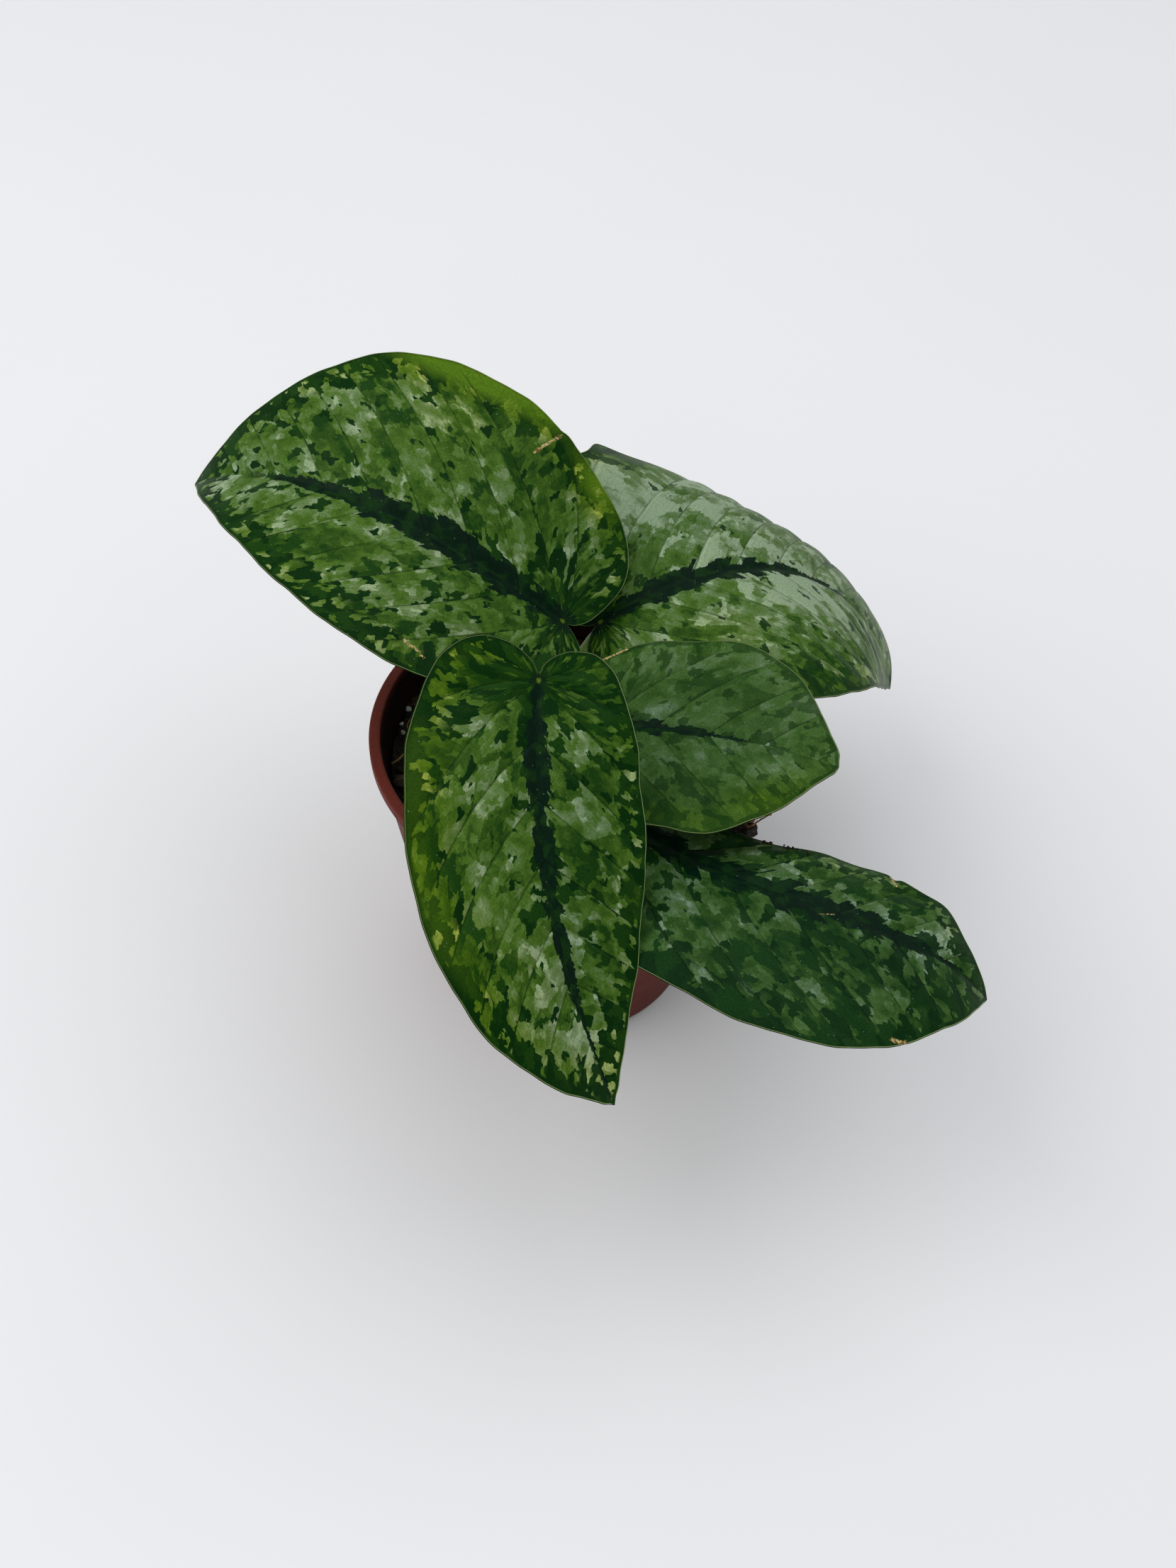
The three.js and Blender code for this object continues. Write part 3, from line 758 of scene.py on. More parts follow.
    # Dry scabs on the scars, and a few specks of dust
    scab = scabs(finish.value("scar"), grain)
    colour = mix(scab, colour, mix(chance[2].ramp(0.5, 0.9), SCAB_STRAW, SCAB_BROWN))
    speck = (cells(out, along, SPECK, "Distance") < 0.13) * (cells(out, along, SPECK)[0] > 0.993)
    colour = mix(speck * 0.7, colour, DUST)

    height = grain * 0.35 + (1 - fine) * 0.3 + streak * 0.3 + scab * 1.2
    return finish.paint(colour, 0.38 + (drift - 0.5) * 0.12 + scab * 0.4, height, 0.09, 0.7)


def leaf_under_finish(look, colours):
    """The underside is plain paler green, with raised veins."""
    finish = Finish("leaf_under_%d" % look["seed"], Specular_IOR_Level=0.25)
    mix = finish.mix
    out, along, _ = finish.split(finish.value("flow", "Vector"))
    rim = finish.value("rim")
    drift = finish.flat_noise(out, along, UNDER_DRIFT, 3.0)
    grain = finish.flat_noise(out, along, UNDER_GRAIN, 3.0)
    off = abs((along / look["spacing"]).maths("FRACT") - 0.5) * look["spacing"]
    main = off.ramp(look["spacing"] / 2 - 0.5, look["spacing"] / 2) * rim.ramp(0.5, 5.0)
    fine = fine_veins(along, 0.3)
    colour = mix(drift.ramp(0.3, 0.7), UNDER_GREEN, UNDER_PALE)
    colour = mix(main * 0.6, colour, UNDER_VEIN)
    colour = mix(fine * 0.18, colour, UNDER_FINE_VEIN)
    colour = mix(abs(rim).ramp(0.1, 0.4, 0.6, 0.0), colour, colours["edge"])
    colour = mix(scabs(finish.value("scar"), grain), colour, UNDER_SCAB)
    colour = finish.shade(colour, grain * 0.3 + 0.85)
    return finish.paint(colour, 0.5 + (drift - 0.5) * 0.2, grain * 0.5 + fine * 0.5, 0.08, 0.7)


def stalk_finish(name, young, old, blush):
    """The green skin of a stalk or stem, mottled, with brown flecks."""
    finish = Finish(name, Specular_IOR_Level=0.3, Coat_Weight=0.08, Coat_Roughness=0.35)
    tone, fleck, ring = finish.lumps(5.0, 3.0), finish.lumps(0.45, 2.0), finish.lumps(1.3, 3.0)
    colour = finish.mix(tone.ramp(0.35, 0.65), young, old)
    colour = finish.mix(ring.ramp(0.56, 0.7, 0.0, 0.35), colour, blush)
    colour = finish.mix(fleck.ramp(0.66, 0.72, 0.0, 0.6), colour, STALK_FLECK)
    return finish.paint(colour, 0.42 + (ring - 0.5) * 0.2, fleck * 0.5 + ring * 0.6, 0.12, 0.6)


def peat_finish(settings):
    """Moist peat: near-black, with brown fibres and a little shine where it is wet."""
    finish = Finish("peat", Specular_IOR_Level=0.3)
    lump, fibre = finish.lumps(2.4, 4.0), finish.lumps(0.5, 3.0)
    colour = finish.mix(lump.ramp(0.4, 0.68), settings.peat, settings.dry_peat)
    colour = finish.mix((finish.chance(1.4) > 0.9) * 0.6, colour, PEAT_CRUMB)
    colour = finish.mix(fibre.ramp(0.64, 0.7, 0.0, 0.7), colour, PEAT_FIBRE)
    return finish.paint(colour, lump.ramp(0.35, 0.65, 0.62, 0.95), lump + fibre * 0.8, 0.5, 0.9)


def bark_finish():
    finish = Finish("bark", Specular_IOR_Level=0.25)
    grain = finish.lumps(0.6, 4.0)
    colour = finish.mix(finish.chance(4.5), BARK_DARK, BARK_BROWN)
    colour = finish.mix(grain.ramp(0.5, 0.75, 0.0, 0.6), colour, BARK_GRAIN)
    return finish.paint(colour, grain.ramp(0.3, 0.7, 0.6, 0.95), grain, 0.35, 0.9)


def perlite_finish(white):
    """Puffed white grains, pitted and stained brown here and there."""
    finish = Finish("perlite", Specular_IOR_Level=0.3)
    darkening = finish.lumps(2.0, 3.0)
    pits = finish.cells(finish.place(0.38), "Distance")
    colour = finish.mix(darkening.ramp(0.5, 0.72, 0.0, 0.75), white, PERLITE_STAIN)
    colour = finish.mix(pits.ramp(0.5, 0.8, 0.0, 0.35), colour, PERLITE_PIT)
    return finish.paint(colour, 0.85 + (darkening - 0.5) * 0.1, 1 - pits, 0.18, 0.8)


def root_finish():
    finish = Finish("rootlet", Specular_IOR_Level=0.2)
    grain = finish.lumps(0.35, 2.0)
    colour = finish.mix(finish.lumps(3.0, 3.0).ramp(0.35, 0.65), ROOT_LIGHT, ROOT_DARK)
    colour = finish.shade(colour, grain * 0.5 + 0.75)
    return finish.paint(colour, grain.ramp(0.2, 0.8, 0.65, 0.9), grain, 0.15, 0.8)


def pot_finish(plastic):
    """Matte injection-moulded plastic, a little chalky, scuffed and splashed with soil near the rim, with
    painted shade on the inside wall.
    """
    finish = Finish("pot_plastic", Specular_IOR_Level=0.12)
    x, y, z = finish.split(finish.place(1.0))
    cloud, grain = finish.lumps(18.0, 3.0), finish.lumps(0.28, 2.0)
    drawn = finish.noise(finish.joined(x / 1.1, y / 1.1, z / 26.0), 3.0)
    scuff = finish.noise(finish.joined(x / 3.0, y / 3.0, z / 0.35), 4.0)
    light = tuple(min(1.0, c * 1.35 + 0.01) for c in plastic)
    colour = finish.mix(cloud.ramp(0.3, 0.7), plastic, tuple(c * 0.86 for c in plastic))
    worn = z.ramp(70.6, 71.8) * grain.ramp(0.35, 0.6)
    for share in (drawn.ramp(0.45, 0.8, 0.0, 0.2), scuff.ramp(0.63, 0.7, 0.0, 0.4), worn * 0.4):
        colour = finish.mix(share, colour, light)
    dirt = finish.lumps(1.6, 4.0).ramp(0.58, 0.7) * z.ramp(58.0, 72.0, 0.1, 0.55)
    foot = z.ramp(0.0, 5.0, 0.5, 0.0) * cloud.ramp(0.35, 0.6)
    colour = finish.mix(dirt + foot * 0.5, colour, POT_SPLASH)
    # Painted shade darkens the inside wall near-black, up to an uneven line below the rim
    away = (x * x + y * y).maths("SQRT")
    inside = (away - (z * POT_TAPER + BASE_RADIUS - WALL * 0.6)) < 0
    darkening = inside * (z > FLOOR * 0.8) * (z + (cloud - 0.5) * 5.0).ramp(69.5, 71.6, 0.94, 0.25)
    colour = finish.shade(finish.mix(darkening, colour, POT_INSIDE_SHADE), grain * 0.2 + 0.9)
    rough = 0.55 + (cloud - 0.5) * 0.16 + scuff.ramp(0.6, 0.7, 0.0, 0.12) + dirt * 0.25
    return finish.paint(colour, rough, grain * 0.5 + drawn * 0.6 + dirt * 0.8, 0.06, 0.7)


# The pot


def pot_radius(height):
    return BASE_RADIUS + POT_TAPER * height


def rounded(corners):
    """A chain of corners (radius, height, rounding), with each corner turned into a small arc."""
    flat = np.array([corner[:2] for corner in corners], float)
    out = [flat[0]]
    for before, here, after, (_, _, size) in zip(flat, flat[1:], flat[2:], corners[1:]):
        if not size:
            out.append(here)
            continue
        start = here + unit(before - here) * size
        end = here + unit(after - here) * size
        for share in np.linspace(0, 1, 6):
            out.append((1 - share) ** 2 * start + 2 * share * (1 - share) * here + share**2 * end)
    out.append(flat[-1])
    return np.array(out)


def pot_profile():
    """The pot's section, from the middle of its underside round the rim to the middle of its floor."""
    rim_foot = POT_HEIGHT - RIM_DEPTH
    inner = pot_radius(POT_HEIGHT) - WALL
    heights = np.linspace(9, rim_foot - 6, 7)
    outside = [(pot_radius(height), height, 0) for height in heights]
    inside = [(pot_radius(height) - WALL, height, 0) for height in heights[::-1]]
    return rounded([
        (0, BASE_HOLLOW, 0), (BASE_RADIUS - 5, BASE_HOLLOW, 0.3), (BASE_RADIUS - 4.4, 0, 0.3),
        (BASE_RADIUS - 0.2, 0, 0.9), (pot_radius(3), 3, 0.6), *outside,
        (pot_radius(rim_foot), rim_foot, 0.35), (RIM_RADIUS - 0.1, rim_foot + 0.5, 0.45),
        (RIM_RADIUS, POT_HEIGHT - 0.1, 0.42),
        (inner - 0.05, POT_HEIGHT, 0.4), (inner - 0.35, rim_foot, 0.3), *inside,
        (pot_radius(FLOOR) - WALL, FLOOR, 1.2), (0, FLOOR, 0),
    ])


def make_pot(settings):
    profile, sides = pot_profile(), settings.sides
    rings = len(profile) - 2
    radius, height = (np.repeat(column[1:-1], sides) for column in profile.T)
    # Thin moulded walls are never quite round
    lean = 1 + 0.0016 * np.sin(2 * np.tile(angles_round(sides), rings) + 0.6) * height / POT_HEIGHT
    body = np.column_stack([np.tile(circle(sides), (rings, 1)) * (radius * lean)[:, None], height])
    shells = Shells()
    shells.add(np.vstack([body, [[0, 0, profile[0, 1]], [0, 0, profile[-1, 1]]]]), skin(rings, sides))
    pot = shells.piece("nursery_pot", [pot_finish(settings.colour)], "pot", ["pot"])
    drills = Shells()
    for k in range(DRAIN_HOLES):
        angle = 2 * np.pi * (k + 0.5) / DRAIN_HOLES
        centre = np.array([DRAIN_RING * np.cos(angle), DRAIN_RING * np.sin(angle), 0])
        drills.add(*tube(centre + [[0, 0, -3], [0, 0, 5]], [DRAIN_RADIUS] * 2, 40, (1, 0, 0)))
    drill = drills.piece("drill", [])
    cut = pot.modifiers.new("drain_holes", "BOOLEAN")
    cut.operation, cut.solver, cut.object = "DIFFERENCE", "EXACT", drill
    bpy.context.view_layer.update()
    whole = bpy.data.meshes.new_from_object(pot.evaluated_get(bpy.context.evaluated_depsgraph_get()))
    pot.modifiers.clear()
    pot.data = whole
    bpy.data.objects.remove(drill)
    whole.shade_smooth()
    whole.set_sharp_from_angle(angle=math.radians(POT_CREASE))


# The soil


def soil_height(x, y):
    lumps = np.sin(0.42 * x + 1.1) * np.cos(0.37 * y) + 0.6 * np.sin(0.83 * x - 0.71 * y)
    away = (x - SOIL_BANK["x"]) ** 2 + (y - SOIL_BANK["y"]) ** 2
    bank = SOIL_BANK["height"] * np.exp(-away / SOIL_BANK["reach"] ** 2)
    return SOIL_LEVEL + 0.9 * lumps + bank


def soil_reach(height):
    return pot_radius(height) - WALL - 0.3


def rough_soil_height(x, y):
    """The height of the soil with its own crumbs and hollows."""
    places = np.column_stack([x, y, np.zeros_like(x)])
    fine = 0.75 * smooth_noise(places, 21, 4.1) + 0.42 * smooth_noise(places, 22, 1.9)
    fine += 0.22 * smooth_noise(places, 23, 0.95)
    return soil_height(x, y) + fine


def make_soil(settings):
    rings, wall = settings.rings, circle(settings.sides)

    def loop_at(height, gap):
        return np.column_stack([wall * (soil_reach(height) - gap), np.full(len(wall), height)])

    edge_height = np.minimum(rough_soil_height(*(wall * soil_reach(65.0)).T), SOIL_TOP)
    edge = soil_reach(edge_height)
    loops = [loop_at(SOIL_FOOT, 0), loop_at(20, 0.15), loop_at(40, 0.15), loop_at(56, 0.15)]
    loops.append(np.column_stack([wall * (edge - 0.1)[:, None], edge_height - 0.5]))
    for ring in range(rings):
        flat = wall * (edge * (1 - ring / rings) - 0.25)[:, None]
        ceiling = SOIL_TOP + 6 * smoothstep(0, 0.25, ring / rings)
        loops.append(np.column_stack([flat, np.minimum(rough_soil_height(*flat.T), ceiling)]))
    middle = rough_soil_height(np.zeros(1), np.zeros(1))[0]
    shells = Shells()
    shells.add(np.vstack([*loops, [[0, 0, SOIL_FOOT]], [[0, 0, middle]]]), skin(len(loops), len(wall)))
    shells.piece("peat", [peat_finish(settings)], "soil", ["soil"])


def knocked(ball, rng, size, flatness, roughness):
    """A ball knocked into an uneven grain of about that size."""
    lumps = smooth_noise(ball + rng.uniform(0, 30, 3), 31, 0.7)
    grain = ball * (1 + roughness * lumps)[:, None] * [1, rng.uniform(0.6, 1), flatness]
    turn = Matrix.Rotation(rng.uniform(0, RANDOM_TURN), 3, Vector(rng.normal(size=3)).normalized())
    if flatness <= CHIP_FLATNESS:
        # A flat chip lies nearly level
        turn = Matrix.Rotation(rng.normal(0, 0.35), 3, "X")
        turn = turn @ Matrix.Rotation(rng.uniform(0, RANDOM_TURN), 3, "Z")
    return grain @ np.array(turn).T * size


def clear_of_stem(x, y):
    return math.hypot(x - STEM_PLACE[0], y - STEM_PLACE[1]) > STEM_CLEARANCE


def strewn(rng, count, edge):
    """Random places on the soil, clear of the wall and the stem."""
    found = []
    while len(found) < count:
        radius, angle = math.sqrt(rng.uniform(0, 1)) * (SOIL_RADIUS - edge), rng.uniform(0, 2 * math.pi)
        x, y = radius * math.cos(angle), radius * math.sin(angle)
        if clear_of_stem(x, y):
            found.append((x, y))
    return np.array(found)


def make_crumbs(settings):
    """Crumbs of peat and chips of bark on the soil, more of them on the bank."""
    rng = np.random.default_rng(SEEDS["crumbs"])
    ball, faces = rock(2)
    shells = Shells()
    spots = strewn(rng, settings.crumbs, 2.0)
    bank = rng.normal((SOIL_BANK["x"], SOIL_BANK["y"]), 3.8, (settings.crumbs // 5, 2))
    bank = bank[np.linalg.norm(bank, axis=1) < BANK_RADIUS]
    for i, (x, y) in enumerate(np.vstack([spots, bank])):
        chip = i % 7 == 0
        size = rng.uniform(1.2, 2.6) if chip else rng.uniform(0.4, 1.25)
        grain = knocked(ball, rng, size, CHIP_FLATNESS if chip else 0.8, 0.35)
        shells.add(grain + [x, y, soil_height(x, y) + rng.uniform(0, 0.5) * size], faces, int(chip))
    # A few that lie on the lowest leaf, along its upper margin
    for x, y in LEAF_CRUMBS:
        for _ in range(3):
            spot = np.array([[x, y]]) + rng.normal(0, (0.9, 0.3), (1, 2))
            top = blade_points(LEAVES["leaf_low_right"], spot[:, 0], spot[:, 1], np.array([-0.25]))
            shells.add(knocked(ball, rng, rng.uniform(0.2, 0.5), 0.8, 0.35) + top, faces)
    shells.piece("soil_crumbs", [peat_finish(settings), bark_finish()], "soil")


def make_perlite(settings):
    rng = np.random.default_rng(SEEDS["perlite"])
    ball, faces = rock(3)
    shells = Shells()
    spots = [(x, y, rng.uniform(0.45, 1.15)) for x, y in strewn(rng, settings.grains, 4.0)]
    for x, y, size in SEEN_PERLITE + spots:
        grain = knocked(ball, rng, size, rng.uniform(0.7, 0.95), 0.3)
        shells.add(grain + [x, y, soil_height(x, y) + 0.35 * size + 0.3], faces)
    shells.piece("perlite_grains", [perlite_finish(settings.perlite)])


def make_rootlets(settings):
    """Dry rootlets and fibres that lie on the peat, one of them at the left of the pot."""
    rng = np.random.default_rng(SEEDS["rootlets"])
    shells = Shells()
    lines = [SEEN_ROOTLET]
    for x, y in strewn(rng, settings.rootlets, 6.0):
        heading, bend = rng.uniform(0, RANDOM_TURN), rng.normal(0, 0.35)
        step = rng.uniform(1.0, 2.4)
        path = [(x, y)]
        for _ in range(5):
            heading += bend + rng.normal(0, 0.25)
            x, y = x + step * math.cos(heading), y + step * math.sin(heading)
            path.append((x, y))
        path = np.array(path)
        path = path[np.linalg.norm(path, axis=1) < ROOTLET_RADIUS]
        if len(path) >= 4 and all(clear_of_stem(*place) for place in path):
            height = rough_soil_height(*path.T) + 0.25 + 0.5 * np.sin(np.linspace(0.4, 2.9, len(path)))
            lines.append(np.column_stack([path, height]))
    for i, knots in enumerate(lines):
        points = through(knots, 22)
        thickness = rng.uniform(0.1, 0.24) if i else 0.26
        taper = thickness * (1 - 0.6 * np.linspace(0, 1, 23) ** 2)
        shells.add(*tube(points, taper * (1 + 0.15 * smooth_noise(points, 5, 0.8)), 7))
    shells.piece("rootlets", [root_finish()])


def make_clump(settings):
    """The clump at the front right of the rim, with a thin sprout and hairs of root."""
    rng = np.random.default_rng(SEEDS["clump"])
    ball, faces = rock(3)
    shells = Shells()
    for x, y, z, size in CLUMP:
        shells.add(knocked(ball, rng, size, 0.85, 0.45) + [x, y, z], faces)
    sprout = through(SPROUT, 26)
    shells.add(*tube(sprout, 0.22 * (1 - 0.45 * np.linspace(0, 1, 27)), 8), slot=1)
    shells.add(knocked(ball, rng, 0.42, 0.7, 0.3) + sprout[-1], faces, 1)
    for _ in range(14):
        start = np.array([rng.uniform(35.5, 39.5), rng.uniform(-26.5, -23.5), 72.0])
        lean = np.array([rng.normal(0.4, 0.7), rng.normal(0, 0.7), rng.uniform(0.6, 1.5)])
        hair = through([start, start + lean, start + 1.9 * lean + rng.normal(0, 0.35, 3)], 10)
        shells.add(*tube(hair, np.linspace(0.09, 0.04, 11), 5), slot=1)
    shells.piece("soil_clump", [peat_finish(settings), root_finish()], "soil")


# The stem


def stem_points(count):
    return through(STEM_PATH, count)


def make_stem():
    steps, sides = 220, 40
    points = stem_points(steps)
    share = np.linspace(0, 1, steps + 1)
    phase = np.mod(STEM_NODES * share + 0.5, 1) - 0.5
    radius = STEM_RADIUS + (STEM_TIP_RADIUS - STEM_RADIUS) * share**3
    radius = radius + 0.5 * np.maximum(0, np.cos(2 * np.pi * phase)) ** 4
    # A ring scar at each node with a ridge above it, a round tip, and fine ribs along the stem
    radius = radius - 0.16 * bell(phase - 0.035, 0.012) + 0.1 * bell(phase - 0.06, 0.012)
    past = np.maximum(0, share - STEM_TIP_SHARE) / 0.031
    radius = np.maximum(radius * np.sqrt(np.maximum(0, 1 - past**2)), 0.12)
    angles = angles_round(sides)[None]
    ribs = 1 + 0.02 * np.cos(9 * angles) + 0.02 * np.sin(4 * angles + 9 * share[:, None])
    shells = Shells()
    shells.add(*tube(points, radius, sides, (0, 1, 0), ribs))
    # Short aerial roots that grow from the nodes down to the soil
    rng = np.random.default_rng(SEEDS["aerial roots"])
    for node in (2, 3, 4):
        foot = points[int(steps * node / STEM_NODES) - 4]
        for _ in range(2):
            heading = rng.uniform(0, RANDOM_TURN)
            out = np.array([math.cos(heading), math.sin(heading), 0])
            path = through([foot + out * reach - [0, 0, drop] for reach, drop in AERIAL_ROOT], 24)
            shells.add(*tube(path, 0.5 * (1 - np.linspace(0, 1, 25) ** 3 * 0.85), 12), slot=1)
    finishes = [stalk_finish("stem_skin", *STEM_TINTS), root_finish()]
    shells.piece("stem_with_roots", finishes, "stem", ["stem"])


# The leaves


def half_margin(half, length, count):
    """Points at equal steps round half of the flat blade, from the notch to the tip."""
    width, shoulder, lobe = half["width"], half["shoulder"], half["lobe"]
    notch = NOTCH_SHARE * width
    turn = np.linspace(0, np.pi / 2, 400)
    rise, run = np.sin(turn), 1 - np.cos(turn)
    share = np.linspace(0, 1, 800)
    back = np.column_stack([-lobe * rise, notch * run])
    side = np.column_stack([-lobe + (shoulder + lobe) * run, notch + (width - notch) * rise])
    tip = np.column_stack([shoulder + (length - shoulder) * share, width * (1 - share ** half["fullness"])])
    return resampled(np.vstack([back, side[1:], tip[1:]]), count)


def worn_margin(margin, sign, look):
    """The margin with a slight waviness, and with this leaf's corners and nicks."""
    walk = walked(margin)
    heading = unit(np.gradient(margin, axis=0))
    outward = np.column_stack([-heading[:, 1], heading[:, 0]])
    phase = look["seed"] * 1.7 + sign
    push = 0.16 * np.sin(walk / 2.6 + phase)
    push += 0.06 * np.sin(walk / 1.13 + 2 * phase) * np.sin(walk / 4.3 + phase)
    for x, y, reach, amount in look["nicks"]:
        push += amount * bell(np.hypot(margin[:, 0] - x, margin[:, 1] * sign - y), reach)
    ends = np.minimum(1, np.minimum(walk, walk[-1] - walk) / 2.5)
    return margin + outward * (push * ends)[:, None]


def blade_axes(leaf, share):
    """The midrib's direction and the blade's two other axes at shares of its length."""
    elevation = np.radians(leaf["rise"] - leaf["droop"] * share ** leaf["hook"])
    heading = np.radians(leaf["heading"] + leaf["turn"] * share**2 + leaf["bow"] * 4 * share * (1 - share))
    roll = np.radians(leaf["roll"] + leaf["twist"] * share)
    ahead, sideways, flat = np.cos(heading), np.sin(heading), np.cos(elevation)
    along = np.stack([flat * ahead, flat * sideways, np.sin(elevation)], -1)
    level = np.stack([-sideways, ahead, np.zeros_like(heading)], -1)
    left = level * np.cos(roll)[..., None] + np.cross(along, level) * np.sin(roll)[..., None]
    return along, left, np.cross(along, left)


def midrib(leaf, steps=60):
    along = blade_axes(leaf, (np.arange(steps) + 0.5) / steps)[0]
    return np.vstack([leaf["base"], leaf["base"] + np.cumsum(along, axis=0) * leaf["length"] / steps])


def blade_points(leaf, x, y, depth):
    """The places in space of points of the flat blade, sunk below its upper face by depth."""
    share = np.clip(x / leaf["length"], 0, 1)
    along, left, up = blade_axes(leaf, share)
    rib = midrib(leaf)
    cell = np.linspace(0, 1, len(rib))
    point = np.stack([np.interp(share, cell, column) for column in rib.T], -1)
    point = point + along * np.minimum(x, 0)[..., None]
    on_left, away = y >= 0, np.abs(y)

    def per_half(values):
        return np.where(on_left, values[0], values[1])

    halves = leaf["left"], leaf["right"]
    width = per_half([half["width"] for half in halves])
    curl, tip_curl = (per_half([half["curl"][end] for half in halves]) for end in (0, 1))
    bend = np.radians(curl + (tip_curl - curl) * share) / width
    fold = np.radians(leaf["fold"][0] + (leaf["fold"][1] - leaf["fold"][0]) * share)
    slope = fold - bend * away
    outwards = (np.sin(fold) - np.sin(slope)) / bend
    wave = np.sin(2 * np.pi * (leaf["ripples"] * share + per_half((0, 0.4))))
    lift = (np.cos(slope) - np.cos(fold)) / bend + leaf["ripple"] * (away / width) ** 2 * wave
    point = point + left * (np.sign(y) * outwards)[..., None] + up * lift[..., None]
    tilt = np.where(away == 0, 0, slope)
    normal = up * np.cos(tilt)[..., None] - left * (np.sign(y) * np.sin(tilt))[..., None]
    return point - normal * np.asarray(depth)[..., None]


def distance_to_lines(x, y, lines):
    """The distance of flat places to the nearest of several chains of points, less its half width."""
    nearest = np.full(np.shape(x), 99.0)
    for chain, half_width in lines:
        chain = np.asarray(chain, float)
        for (ax, ay), (bx, by) in zip(chain, chain[1:]):
            run = max((bx - ax) ** 2 + (by - ay) ** 2, 1e-9)
            share = np.clip(((x - ax) * (bx - ax) + (y - ay) * (by - ay)) / run, 0, 1)
            away = np.hypot(x - ax - share * (bx - ax), y - ay - share * (by - ay))
            nearest = np.minimum(nearest, away - half_width)
    return nearest


def vein_places(x, y):
    """Where flat places lie along their side vein from the midrib, and across the veins, in millimetres.

    Side veins leave the midrib at an angle and sweep forward; behind the first one they fan out
    from the notch into the lobes."""
    away = np.abs(y)
    ahead = x - VEIN_CURVE * away**2
    leaving = math.atan2(1, VEIN_LEAN)
    foot = ahead - VEIN_LEAN * away
    fan = -(np.arctan2(away, ahead) - leaving) * VEIN_FAN
    across = np.where(foot > 0, foot * math.sin(leaving), fan)
    out = np.where(foot > 0, np.hypot(away, x - foot), np.hypot(x, y))
    return np.sign(y) * out, across


